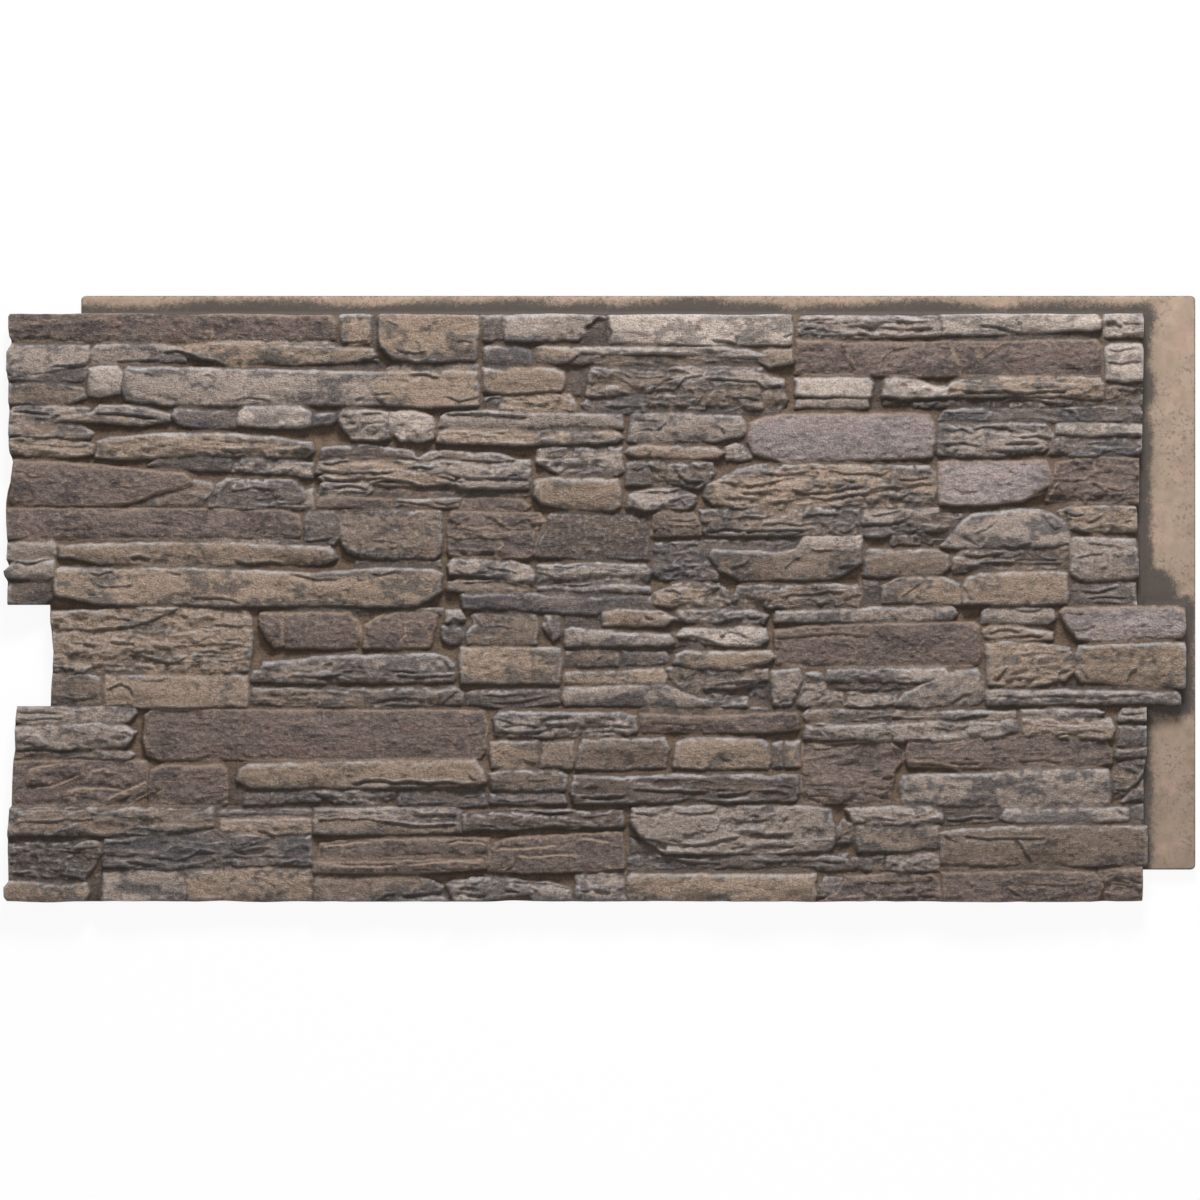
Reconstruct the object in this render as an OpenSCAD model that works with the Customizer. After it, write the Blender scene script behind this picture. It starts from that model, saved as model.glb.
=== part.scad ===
/* [Panel] */
// Width over all, from the loose stone edge to the flange's outer edge
panel_w = 1245; // [1000:5:1500]
// Height over all, from the loose foot edge to the flange's top edge
panel_h = 634; // [500:2:760]
// Depth over all, from the flat back to the highest stone
panel_t = 32; // [26:0.5:40]

/* [Flange] */
// Thickness of the plate that the stones stand on, and of the flange around them
flange_t = 9.5; // [8:0.5:11]
// Width of the flange beside the stones, where the next panel laps over
flange_side = 52; // [50:1:62]
// Width of the flange above the stones, where the next course laps over
flange_head = 18; // [15:1:24]
// Radius of the flange's corners
flange_corner = 5; // [2:0.5:8]

/* [Laps] */
// Depth of the lap under the loose side edge
lap_side = 80; // [66:1:90]
// Depth of the lap under the foot edge
lap_foot = 34; // [26:1:42]
// Clearance of a lap over the flange that slides under it
lap_gap = 1; // [0.5:0.1:1.5]

/* [Key] */
// Length of the stone key that stands out over the side flange
key_l = 42; // [34:0.5:46]
// Length of the notch that takes the next panel's key
notch_l = 48; // [46:0.5:52]

/* [Stones] */
// Height of the joint bed above the back
bed_z = 14; // [12:0.5:16]
// Draft of a stone's sides: how far its face is drawn in from its foot
stone_draft = 2.4; // [1:0.1:3]

/* [Hidden] */
// The pattern below was laid out on a stone face of this length and width, with a key this long
pattern = [1193, 616, 42];
// Heights of the bed and of the highest stone in the pattern
pattern_z = [14, 31];
// Levels in the pattern between which the key and the notch lie
key_levels = [205.5, 311];

// Stone face of this panel
face_w = panel_w - flange_side;
face_h = panel_h - flange_head;
sink = 1;

// Joint bed between the stones, a little inside their outer ends
bed_outline = [
    [3, 3], [3, 20], [8, 25], [8, 98], [12, 104], [12, 148], [14, 160], [13, 203], [20, 207],
    [50, 207], [50, 310], [8, 314], [8, 340], [4, 345], [8, 360], [6, 405], [11, 425],
    [13, 455], [9, 470], [8, 545], [6, 560], [6, 574], [10, 585], [7, 590], [7, 613],
    [1186, 613], [1184, 590], [1184, 312], [1226, 310], [1230, 300], [1230, 210], [1190, 207], [1190, 3]
];

// The stones in courses from the foot up: height of the face, then the outline
stone_rows = [
    // foot course, the loose edge that laps the panel below
    [28, [[0, 6], [0, 16], [6, 22], [20, 22], [60, 18], [86, 20], [88, 10], [84, 3], [60, 0], [8, 0]]],
    [17, [[86, 1], [90, 20], [103, 38], [105, 2]]],
    [23, [[103, 2], [104, 33], [125, 35], [182, 34], [188, 24], [191, 12], [190, 1]]],
    [24, [[193, 2], [192, 20], [188, 34], [240, 37], [320, 35], [322, 2]]],
    [22, [[324, 1], [324, 29], [345, 29], [437, 28], [463, 16], [455, 12], [384, 1]]],
    [19, [[388, 0], [401, 9], [456, 12], [468, 9], [473, 0]]],
    [26, [[470, 3], [464, 18], [470, 23], [520, 27], [548, 20], [560, 12], [526, 8], [500, 3]]],
    [24, [[549, 9], [547, 19], [566, 21], [585, 16], [595, 12], [595, 3], [552, 2]]],
    [25, [[597, 2], [598, 28], [647, 32], [649, 2]]],
    [28, [[652, 1], [651, 26], [656, 30], [720, 29], [846, 29], [848, 8], [846, 1]]],
    [24, [[850, 4], [850, 17], [858, 27], [876, 26], [880, 15], [866, 7]]],
    [25, [[852, 1], [870, 12], [880, 27], [930, 31], [970, 28], [977, 22], [979, 2], [940, 0]]],
    [28, [[981, 2], [980, 31], [1060, 33], [1138, 32], [1144, 25], [1147, 16], [1143, 4], [1135, 1],
        [1000, 0]]],
    [22, [[980, 30], [981, 39], [1060, 37], [1141, 39], [1141, 30]]],
    [27, [[1150, 3], [1149, 20], [1143, 34], [1188, 37], [1190, 12], [1188, 3], [1180, 1]]],
    // courses from 22 to 70
    [26, [[5, 24], [4, 50], [6, 62], [45, 62], [80, 67], [98, 62], [101, 52], [88, 30], [85, 22],
        [40, 21]]],
    [22, [[5, 62], [5, 69], [35, 70], [60, 70], [60, 62]]],
    [27, [[104, 38], [103, 50], [106, 66], [150, 70], [220, 76], [240, 71], [320, 69], [322, 40],
        [240, 38], [160, 35]]],
    [28, [[323, 32], [323, 43], [400, 42], [450, 45], [500, 44], [503, 36], [440, 31], [360, 31]]],
    [24, [[328, 45], [330, 62], [372, 66], [506, 67], [508, 48], [460, 49], [405, 46]]],
    [25, [[506, 33], [504, 42], [512, 62], [530, 68], [646, 74], [648, 60], [648, 36], [620, 33],
        [530, 32]]],
    [20, [[651, 34], [651, 50], [690, 51], [702, 42], [702, 34]]],
    [23, [[686, 40], [680, 50], [760, 51], [881, 51], [882, 34], [800, 33], [702, 34]]],
    [24, [[883, 34], [886, 48], [900, 51], [920, 50], [921, 34]]],
    [27, [[921, 35], [922, 47], [926, 50], [976, 51], [976, 34], [940, 33]]],
    [28, [[978, 40], [978, 72], [1000, 76], [1060, 79], [1110, 81], [1193, 79], [1194, 60], [1193, 40],
        [1080, 38]]],
    [25, [[870, 56], [868, 75], [876, 86], [886, 82], [888, 60]]],
    [27, [[892, 54], [890, 62], [890, 80], [976, 80], [977, 56], [930, 53]]],
    [31, [[692, 52], [665, 70], [655, 85], [656, 99], [760, 101], [830, 101], [862, 97], [866, 80],
        [867, 62], [862, 55], [790, 52]]],
    [20, [[655, 52], [655, 68], [672, 64], [690, 52]]],
    // courses from 70 to 100
    [29, [[5, 71], [6, 98], [70, 99], [160, 99], [218, 99], [220, 80], [180, 72], [110, 70]]],
    [22, [[222, 90], [223, 98], [260, 99], [322, 99], [322, 91]]],
    [27, [[228, 72], [226, 88], [300, 90], [320, 89], [322, 72], [275, 71]]],
    [24, [[325, 89], [325, 98], [400, 99], [470, 99], [478, 95], [475, 84], [425, 82]]],
    [27, [[323, 72], [323, 87], [350, 89], [410, 85], [440, 82], [476, 83], [478, 74], [400, 71]]],
    [27, [[480, 76], [479, 92], [530, 97], [600, 96], [646, 98], [647, 80], [560, 76]]],
    [28, [[886, 84], [880, 98], [930, 100], [978, 99], [980, 84], [930, 81]]],
    [22, [[981, 80], [981, 99], [1035, 100], [1045, 97], [1040, 84]]],
    [26, [[1040, 88], [1046, 98], [1110, 100], [1174, 98], [1173, 86], [1110, 83], [1048, 84]]],
    [20, [[1176, 82], [1176, 100], [1190, 104], [1191, 82]]],
    // courses from 100 to 150
    [24, [[8, 101], [10, 148], [60, 149], [149, 148], [151, 130], [149, 112], [130, 101]]],
    [25.5, [[24, 120], [26, 136], [35, 142], [55, 146], [85, 146], [82, 132], [60, 125], [48, 120]]],
    [26, [[84, 130], [90, 139], [110, 142], [132, 145], [132, 125], [120, 120], [90, 121]]],
    [25.5, [[62, 102], [62, 112], [78, 119], [120, 119], [130, 113], [110, 104], [90, 101]]],
    [27, [[152, 101], [151, 120], [154, 138], [165, 143], [228, 143], [233, 138], [234, 104], [225, 100]]],
    [20, [[236, 103], [236, 140], [250, 140], [250, 103]]],
    [30, [[244, 128], [246, 138], [256, 144], [300, 146], [440, 149], [492, 149], [499, 140],
        [503, 127], [490, 123], [355, 120], [320, 120], [256, 121]]],
    [24, [[250, 103], [251, 117], [290, 118], [330, 116], [330, 107], [270, 102]]],
    [24, [[326, 115], [345, 104], [385, 102], [408, 110], [410, 119], [350, 117]]],
    [22, [[412, 101], [411, 119], [440, 120], [500, 118], [504, 112], [504, 102], [470, 100]]],
    [28, [[510, 119], [508, 134], [520, 138], [582, 138], [588, 133], [586, 118], [550, 116]]],
    [26, [[508, 105], [508, 113], [540, 113], [572, 115], [585, 114], [588, 105], [550, 103]]],
    [31, [[597, 104], [592, 118], [596, 132], [655, 131], [700, 133], [828, 132], [830, 115],
        [826, 107], [700, 105], [640, 105]]],
    [25, [[835, 104], [832, 128], [835, 145], [833, 165], [905, 169], [925, 168], [940, 158],
        [940, 150], [930, 138], [925, 104]]],
    [27.5, [[835, 106], [834, 119], [862, 121], [876, 116], [874, 105], [850, 103]]],
    [27, [[938, 103], [936, 125], [940, 132], [1020, 135], [1080, 140], [1152, 138], [1156, 120],
        [1155, 103], [1040, 100]]],
    [24, [[1158, 107], [1158, 125], [1163, 152], [1192, 152], [1192, 140], [1180, 120], [1165, 108]]],
    [24, [[1168, 106], [1189, 128], [1191, 107]]],
    // courses from 138 to 205
    [27, [[509, 141], [509, 167], [520, 169], [557, 168], [557, 146], [540, 140]]],
    [26, [[561, 142], [562, 168], [594, 169], [596, 150], [594, 141]]],
    [27, [[598, 141], [600, 160], [605, 170], [690, 171], [694, 160], [690, 141], [640, 139]]],
    [28, [[699, 142], [702, 166], [715, 172], [790, 170], [798, 165], [800, 150], [798, 141], [750, 139]]],
    [26, [[802, 142], [803, 166], [812, 167], [813, 142]]],
    [26, [[816, 142], [817, 167], [830, 168], [831, 142]]],
    [27, [[944, 143], [942, 152], [944, 167], [1000, 168], [1030, 173], [1062, 175], [1150, 171],
        [1157, 160], [1156, 146], [1130, 141], [1000, 141]]],
    [30, [[836, 172], [838, 185], [900, 186], [1000, 190], [1057, 190], [1060, 179], [1000, 168],
        [900, 170]]],
    [27, [[836, 188], [835, 195], [840, 201], [900, 201], [1000, 200], [1056, 199], [1057, 191],
        [930, 188]]],
    [30, [[1066, 173], [1062, 182], [1064, 192], [1130, 193], [1155, 192], [1159, 180], [1155, 172]]],
    [26, [[1062, 192], [1062, 201], [1100, 202], [1140, 201], [1148, 198], [1142, 193]]],
    [27, [[1160, 152], [1160, 159], [1194, 161], [1194, 153]]],
    [25, [[1163, 164], [1165, 184], [1193, 184], [1193, 163]]],
    [26, [[1163, 190], [1168, 203], [1194, 203], [1194, 190]]],
    [25, [[11, 151], [11, 160], [100, 160], [130, 159], [136, 154], [130, 150]]],
    [29, [[13, 161], [12, 183], [30, 184], [100, 187], [128, 183], [137, 178], [128, 164], [90, 161]]],
    [28, [[10, 188], [11, 200], [16, 204], [100, 205], [138, 204], [139, 198], [130, 188], [60, 187]]],
    [27, [[150, 155], [146, 170], [148, 195], [156, 202], [345, 201], [480, 201], [502, 199],
        [504, 180], [503, 158], [495, 150], [330, 149], [165, 149]]],
    [29, [[514, 176], [511, 192], [518, 199], [600, 197], [640, 198], [660, 194], [661, 180],
        [650, 175], [540, 173]]],
    [27, [[667, 178], [664, 197], [730, 194], [790, 197], [828, 198], [830, 182], [800, 178]]],
    [22, [[664, 195], [665, 203], [770, 203], [829, 203], [829, 195]]],
    // courses from 204 to 265, where the edge keys in
    [27, [[49, 206], [49, 232], [52, 238], [90, 238], [99, 234], [101, 208], [97, 205]]],
    [28, [[107, 206], [104, 222], [106, 237], [240, 238], [254, 236], [255, 215], [253, 205], [150, 204]]],
    [28, [[258, 206], [260, 223], [400, 223], [470, 225], [480, 218], [480, 207], [400, 203]]],
    [22, [[258, 224], [258, 231], [320, 232], [345, 228], [345, 223]]],
    [24, [[483, 206], [482, 218], [500, 223], [580, 223], [581, 208], [540, 203]]],
    [27, [[586, 206], [584, 212], [586, 224], [640, 226], [690, 228], [715, 216], [740, 209], [740, 204]]],
    [28, [[478, 230], [476, 255], [478, 266], [520, 267], [580, 265], [583, 250], [580, 229]]],
    [26, [[586, 229], [586, 241], [660, 243], [688, 244], [693, 236], [690, 229]]],
    [24, [[586, 246], [586, 263], [620, 265], [641, 264], [643, 247]]],
    [25, [[646, 247], [645, 264], [690, 263], [695, 255], [690, 247]]],
    [29, [[268, 242], [272, 250], [340, 257], [450, 260], [462, 256], [470, 248], [470, 239]]],
    [31, [[258, 232], [262, 241], [330, 243], [440, 240], [470, 239], [470, 231], [345, 229], [320, 230]]],
    [30, [[699, 250], [702, 258], [712, 262], [800, 262], [804, 256], [795, 250], [770, 243], [725, 244]]],
    [28, [[692, 243], [697, 232], [708, 221], [720, 215], [760, 224], [798, 234], [797, 244],
        [760, 242], [700, 248]]],
    [24, [[728, 208], [735, 220], [755, 219], [776, 214], [776, 205], [740, 205]]],
    [19, [[777, 205], [777, 228], [800, 230], [801, 205]]],
    [30, [[804, 207], [803, 225], [802, 242], [830, 243], [833, 232], [823, 207]]],
    [26, [[828, 206], [838, 240], [853, 239], [860, 222], [875, 219], [879, 206]]],
    [25, [[881, 206], [882, 219], [930, 223], [932, 210], [915, 205]]],
    [25, [[858, 222], [858, 230], [930, 231], [960, 230], [955, 222]]],
    [30, [[856, 231], [860, 242], [930, 244], [982, 244], [986, 238], [980, 231], [900, 231]]],
    [28, [[930, 207], [940, 218], [960, 227], [985, 240], [1015, 244], [1022, 235], [1024, 215],
        [1018, 207], [960, 204]]],
    [28, [[1026, 207], [1025, 221], [1050, 222], [1120, 221], [1225, 219], [1230, 214], [1228, 208],
        [1120, 208]]],
    [20, [[1026, 222], [1027, 229], [1230, 227], [1232, 219]]],
    [29, [[1027, 228], [1026, 270], [1040, 272], [1095, 268], [1112, 265], [1118, 257], [1118, 243],
        [1108, 233], [1070, 226]]],
    [29, [[1119, 240], [1120, 255], [1123, 267], [1180, 270], [1232, 271], [1235, 265], [1233, 225],
        [1190, 225], [1125, 231]]],
    // courses from 240 to 310
    [29, [[50, 285], [48, 294], [51, 303], [100, 305], [140, 308], [180, 307], [140, 289], [100, 285]]],
    [27, [[52, 241], [51, 262], [52, 283], [100, 286], [140, 290], [180, 307], [240, 307], [258, 304],
        [259, 280], [256, 241], [150, 239]]],
    [26, [[267, 290], [268, 302], [292, 303], [293, 269], [284, 266], [272, 280]]],
    [27, [[294, 267], [294, 302], [320, 303], [360, 302], [369, 295], [373, 280], [368, 267], [340, 265]]],
    [27, [[376, 267], [378, 290], [395, 299], [410, 303], [445, 304], [453, 300], [445, 267], [410, 265]]],
    [22, [[296, 300], [297, 307], [380, 308], [458, 307], [458, 301]]],
    [23, [[458, 275], [457, 288], [466, 291], [480, 291], [487, 283], [478, 270], [466, 269]]],
    [25, [[462, 293], [463, 305], [478, 305], [481, 296], [472, 291]]],
    [27, [[484, 271], [484, 282], [492, 290], [488, 299], [495, 304], [540, 303], [556, 301],
        [559, 285], [556, 271], [530, 268]]],
    [27, [[563, 288], [566, 301], [580, 301], [581, 279], [574, 274]]],
    [30, [[586, 268], [585, 284], [592, 287], [640, 282], [695, 279], [700, 272], [690, 269]]],
    [26, [[700, 267], [702, 280], [725, 278], [743, 273], [735, 265]]],
    [30, [[702, 279], [710, 286], [752, 285], [775, 288], [795, 285], [798, 276], [790, 268], [752, 268]]],
    [22, [[586, 288], [586, 302], [622, 302], [624, 289]]],
    [29, [[626, 289], [626, 304], [640, 306], [685, 304], [699, 297], [690, 290], [660, 288]]],
    [28, [[700, 296], [702, 305], [745, 306], [780, 305], [797, 300], [792, 291], [745, 289]]],
    [26, [[806, 250], [805, 284], [840, 288], [930, 292], [1012, 292], [1018, 289], [1020, 265],
        [1018, 249], [990, 246], [840, 245]]],
    [28, [[806, 294], [806, 304], [870, 306], [930, 308], [990, 309], [995, 303], [988, 295], [860, 293]]],
    [26, [[1021, 292], [1022, 302], [1027, 309], [1085, 310], [1095, 307], [1097, 298], [1090, 291]]],
    [26, [[1021, 276], [1022, 285], [1030, 289], [1055, 289], [1095, 281], [1094, 275], [1040, 273]]],
    [28, [[1103, 303], [1108, 308], [1225, 308], [1232, 306], [1235, 285], [1230, 277], [1140, 273],
        [1121, 275], [1110, 288]]],
    [24, [[1180, 304], [1179, 313], [1226, 312], [1229, 304]]],
    // courses from 305 to 360
    [24, [[4, 313], [5, 335], [52, 335], [54, 322], [44, 314], [20, 310]]],
    [31, [[54, 322], [54, 346], [60, 349], [200, 349], [330, 343], [365, 347], [410, 349], [450, 347],
        [457, 342], [455, 325], [430, 310], [250, 310], [100, 312]]],
    [28, [[480, 308], [478, 321], [500, 323], [560, 322], [676, 319], [677, 304], [610, 302]]],
    [26, [[463, 327], [464, 335], [480, 338], [530, 338], [550, 328], [545, 322], [500, 321]]],
    [29, [[466, 344], [464, 352], [470, 359], [530, 356], [548, 351], [554, 344], [553, 331], [510, 340]]],
    [27, [[556, 325], [557, 332], [640, 334], [675, 329], [675, 323], [620, 322]]],
    [29, [[556, 334], [558, 351], [620, 354], [670, 352], [676, 345], [672, 334], [620, 332]]],
    [26, [[678, 312], [680, 323], [700, 331], [720, 335], [745, 333], [757, 325], [758, 313],
        [745, 307], [700, 308]]],
    [27, [[760, 308], [762, 320], [768, 331], [850, 332], [890, 331], [896, 320], [894, 309], [830, 308]]],
    [20, [[897, 312], [897, 337], [915, 337], [916, 312]]],
    [28, [[917, 313], [917, 330], [930, 336], [945, 339], [980, 340], [998, 332], [1002, 322],
        [1000, 312]]],
    [30, [[1003, 313], [1002, 330], [1006, 338], [1020, 343], [1100, 347], [1109, 344], [1111, 313],
        [1060, 311]]],
    [24, [[1113, 313], [1112, 330], [1120, 335], [1180, 333], [1183, 312]]],
    [30, [[1, 341], [0, 346], [8, 351], [14, 357], [52, 358], [53, 340], [40, 336]]],
    [27, [[3, 358], [4, 375], [30, 377], [50, 377], [57, 372], [55, 362], [45, 357]]],
    [29, [[58, 362], [57, 372], [90, 374], [240, 376], [260, 373], [340, 371], [348, 360], [330, 352],
        [150, 352], [100, 354]]],
    [24, [[366, 350], [367, 357], [410, 358], [455, 357], [457, 350]]],
    [24, [[678, 338], [677, 370], [680, 375], [760, 379], [830, 381], [828, 368], [740, 360],
        [745, 345], [745, 336]]],
    [30, [[737, 362], [740, 367], [800, 366], [860, 371], [893, 372], [894, 355], [873, 342],
        [860, 337], [770, 337], [747, 347]]],
    [28, [[828, 370], [836, 382], [870, 383], [896, 383], [896, 372]]],
    [26, [[898, 341], [897, 365], [905, 369], [975, 368], [985, 363], [986, 350], [980, 343], [930, 340]]],
    [27, [[989, 344], [992, 361], [1000, 368], [1070, 370], [1111, 372], [1112, 350], [1060, 348]]],
    [29, [[1114, 343], [1113, 380], [1140, 381], [1180, 379], [1184, 360], [1186, 342], [1180, 339],
        [1130, 336]]],
    // courses from 360 to 412
    [26, [[200, 375], [215, 381], [260, 382], [305, 380], [311, 373], [260, 372]]],
    [27, [[4, 380], [3, 411], [120, 412], [200, 411], [290, 410], [308, 403], [311, 392], [308, 382],
        [195, 379]]],
    [24, [[314, 377], [313, 400], [316, 409], [345, 410], [350, 400], [350, 380], [345, 374]]],
    [28, [[353, 377], [352, 400], [354, 409], [380, 411], [455, 409], [458, 400], [456, 366],
        [450, 360], [375, 360], [360, 367]]],
    [27, [[465, 363], [463, 402], [468, 409], [560, 407], [566, 398], [553, 364], [548, 360], [475, 360]]],
    [25, [[555, 362], [566, 400], [572, 407], [672, 406], [673, 358], [620, 356]]],
    [26, [[676, 382], [678, 405], [684, 408], [720, 408], [727, 395], [728, 384]]],
    [29, [[732, 384], [727, 409], [765, 410], [805, 413], [893, 412], [893, 395], [890, 383]]],
    [26, [[896, 383], [896, 392], [925, 393], [930, 386], [915, 382]]],
    [27, [[895, 395], [895, 412], [930, 413], [975, 412], [976, 408], [930, 396]]],
    [25, [[926, 374], [928, 407], [976, 408], [1000, 405], [1000, 390], [978, 374]]],
    [29, [[979, 373], [1000, 397], [1010, 405], [1060, 411], [1085, 409], [1105, 400], [1112, 388],
        [1113, 375], [1060, 370], [1000, 371]]],
    [28, [[1101, 408], [1115, 413], [1150, 414], [1180, 413], [1184, 403], [1182, 388], [1140, 386],
        [1113, 391]]],
    // courses from 405 to 480
    [28, [[8, 420], [10, 461], [60, 460], [130, 454], [190, 447], [196, 438], [150, 422], [120, 415],
        [10, 415]]],
    [25, [[135, 413], [150, 424], [180, 433], [198, 441], [216, 439], [222, 432], [212, 418], [205, 412]]],
    [27, [[214, 412], [215, 420], [222, 435], [232, 442], [300, 441], [320, 428], [312, 414],
        [300, 410], [230, 410]]],
    [24, [[303, 410], [312, 428], [323, 432], [323, 410]]],
    [26, [[327, 413], [330, 422], [345, 424], [380, 422], [405, 420], [405, 411]]],
    [27, [[408, 413], [411, 421], [440, 421], [477, 422], [474, 413]]],
    [24, [[476, 411], [480, 422], [510, 423], [540, 421], [549, 414], [545, 410]]],
    [23, [[150, 457], [165, 467], [200, 467], [238, 463], [236, 451], [180, 452]]],
    [25, [[238, 451], [240, 459], [255, 465], [280, 465], [322, 457], [323, 444], [290, 448]]],
    [24, [[330, 462], [332, 473], [345, 476], [380, 477], [425, 471], [432, 464], [400, 461]]],
    [27, [[430, 463], [445, 470], [460, 472], [490, 469], [520, 468], [532, 463], [500, 459], [450, 459]]],
    [27, [[326, 449], [330, 459], [345, 463], [380, 462], [430, 459], [420, 450], [350, 447]]],
    [29, [[420, 451], [432, 459], [500, 461], [548, 462], [549, 450], [548, 442], [500, 441], [460, 448]]],
    [28, [[330, 444], [345, 449], [400, 451], [450, 451], [470, 444], [470, 436], [440, 435], [340, 436]]],
    [27, [[328, 426], [332, 437], [345, 441], [380, 439], [385, 430], [378, 424], [350, 423]]],
    [20, [[388, 424], [386, 431], [395, 438], [430, 439], [470, 435], [548, 432], [549, 424], [440, 423]]],
    [28, [[470, 438], [480, 445], [549, 443], [549, 433], [510, 431], [478, 433]]],
    [27, [[556, 460], [557, 473], [565, 476], [600, 476], [645, 475], [646, 450], [640, 446], [580, 447]]],
    [29, [[554, 425], [555, 441], [570, 443], [640, 441], [644, 430], [644, 415], [635, 410],
        [590, 410], [562, 417]]],
    [24, [[650, 436], [650, 459], [660, 462], [674, 460], [676, 436]]],
    [27, [[673, 440], [673, 460], [720, 459], [739, 458], [743, 450], [735, 439], [725, 433], [685, 434]]],
    [28, [[652, 414], [654, 426], [672, 431], [705, 432], [722, 424], [722, 418], [715, 412], [670, 411]]],
    [28, [[650, 469], [653, 475], [665, 477], [740, 475], [751, 470], [745, 465], [720, 463], [665, 465]]],
    [25, [[753, 462], [755, 475], [765, 479], [779, 476], [781, 464], [770, 460]]],
    [30, [[731, 424], [735, 436], [765, 451], [785, 456], [850, 457], [940, 456], [966, 454],
        [972, 448], [973, 430], [970, 414], [900, 411], [760, 412], [740, 416]]],
    [22, [[800, 455], [830, 462], [925, 468], [925, 458], [850, 456]]],
    [29, [[977, 416], [976, 459], [990, 461], [1088, 461], [1093, 450], [1090, 435], [1065, 420],
        [1020, 415]]],
    [28, [[1088, 419], [1092, 440], [1100, 459], [1120, 464], [1160, 465], [1184, 463], [1186, 440],
        [1185, 417], [1120, 417]]],
    // courses from 463 to 520
    [27, [[6, 469], [6, 483], [20, 486], [80, 483], [93, 478], [93, 469], [60, 465], [25, 467]]],
    [27, [[5, 488], [6, 499], [30, 500], [60, 500], [82, 497], [93, 490], [90, 485], [30, 486]]],
    [28, [[97, 465], [98, 481], [110, 485], [170, 489], [240, 489], [280, 486], [322, 479], [323, 470],
        [315, 465], [260, 466], [120, 463]]],
    [25, [[5, 501], [8, 510], [20, 513], [50, 512], [60, 504], [48, 500]]],
    [27, [[6, 511], [10, 518], [50, 519], [88, 516], [90, 511], [50, 510]]],
    [26, [[52, 502], [60, 510], [95, 512], [140, 510], [168, 503], [145, 498], [100, 502]]],
    [28, [[92, 512], [100, 518], [130, 518], [150, 516], [173, 509], [173, 503], [150, 506], [120, 510]]],
    [26, [[175, 508], [178, 515], [246, 515], [242, 497], [220, 494], [200, 495], [183, 500]]],
    [30, [[244, 499], [246, 511], [252, 517], [280, 518], [310, 517], [321, 510], [320, 499],
        [310, 495], [260, 497]]],
    [24, [[322, 499], [322, 511], [348, 512], [348, 504], [338, 499]]],
    [29, [[352, 498], [350, 508], [355, 514], [380, 514], [402, 512], [401, 485], [385, 483], [364, 484]]],
    [29, [[403, 493], [403, 512], [430, 513], [446, 508], [450, 500], [448, 486], [440, 482], [415, 482]]],
    [28, [[454, 497], [458, 507], [470, 512], [500, 513], [580, 510], [645, 509], [646, 496],
        [550, 494], [470, 493]]],
    [29, [[452, 482], [455, 491], [462, 494], [550, 494], [610, 494], [640, 491], [646, 485],
        [640, 481], [550, 479], [470, 479]]],
    [28, [[652, 482], [654, 502], [657, 511], [690, 511], [770, 507], [774, 500], [772, 488],
        [740, 481], [670, 481]]],
    [30, [[777, 482], [779, 500], [795, 506], [820, 509], [930, 510], [966, 509], [971, 500],
        [972, 480], [968, 465], [815, 460], [783, 469]]],
    [29, [[975, 468], [974, 491], [978, 499], [1050, 500], [1086, 499], [1096, 490], [1095, 478],
        [1085, 471], [1020, 465]]],
    [26, [[1092, 469], [1096, 481], [1105, 487], [1188, 487], [1190, 475], [1180, 466], [1120, 466]]],
    [28, [[1099, 490], [1100, 500], [1175, 500], [1189, 498], [1188, 488], [1115, 488]]],
    // courses from 500 to 560
    [25, [[5, 522], [5, 543], [30, 544], [60, 543], [86, 538], [86, 528], [60, 518], [30, 520]]],
    [30, [[89, 530], [89, 557], [100, 559], [118, 559], [123, 552], [122, 532], [100, 528]]],
    [30, [[128, 524], [123, 540], [124, 553], [130, 559], [228, 557], [400, 553], [410, 520],
        [350, 519], [180, 519]]],
    [30, [[385, 530], [390, 550], [405, 556], [450, 555], [494, 555], [496, 540], [495, 519],
        [440, 517], [400, 520]]],
    [25, [[501, 518], [501, 528], [518, 529], [521, 522], [515, 516], [506, 516]]],
    [27, [[517, 514], [520, 528], [545, 530], [590, 531], [597, 520], [597, 511], [540, 510]]],
    [29, [[501, 534], [501, 557], [560, 558], [575, 557], [584, 552], [586, 545], [583, 535], [520, 532]]],
    [20, [[587, 530], [587, 557], [606, 556], [608, 540], [604, 528]]],
    [26, [[603, 519], [612, 529], [640, 530], [667, 531], [671, 524], [668, 513], [640, 510], [613, 510]]],
    [28, [[609, 530], [610, 546], [613, 557], [650, 559], [690, 559], [698, 550], [672, 532], [640, 529]]],
    [29, [[671, 518], [672, 534], [705, 547], [740, 548], [812, 539], [817, 525], [814, 515],
        [740, 514], [690, 513]]],
    [30, [[696, 548], [712, 554], [745, 557], [780, 556], [814, 545], [813, 537], [795, 539], [730, 544]]],
    [28, [[690, 554], [700, 559], [740, 559], [791, 558], [790, 552], [740, 552]]],
    [23, [[700, 510], [702, 516], [770, 519], [812, 518], [812, 511], [760, 509]]],
    [30, [[827, 530], [827, 547], [880, 547], [903, 547], [906, 542], [904, 528], [850, 529]]],
    [27, [[826, 517], [828, 525], [870, 526], [902, 528], [903, 517], [880, 515]]],
    [20, [[906, 516], [907, 545], [916, 545], [917, 516]]],
    [29, [[918, 529], [920, 546], [935, 548], [950, 547], [970, 540], [986, 538], [985, 529], [940, 527]]],
    [24, [[918, 519], [920, 528], [1000, 531], [1130, 524], [1148, 520], [1100, 516], [960, 517]]],
    [29, [[985, 529], [986, 539], [1000, 548], [1030, 550], [1100, 549], [1143, 548], [1149, 540],
        [1147, 526], [1060, 529]]],
    [24, [[1150, 520], [1152, 541], [1188, 542], [1190, 525], [1188, 519]]],
    [26, [[974, 503], [985, 513], [1000, 516], [1100, 517], [1185, 519], [1189, 510], [1186, 502],
        [1050, 501]]],
    // courses from 545 to 590
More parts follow.
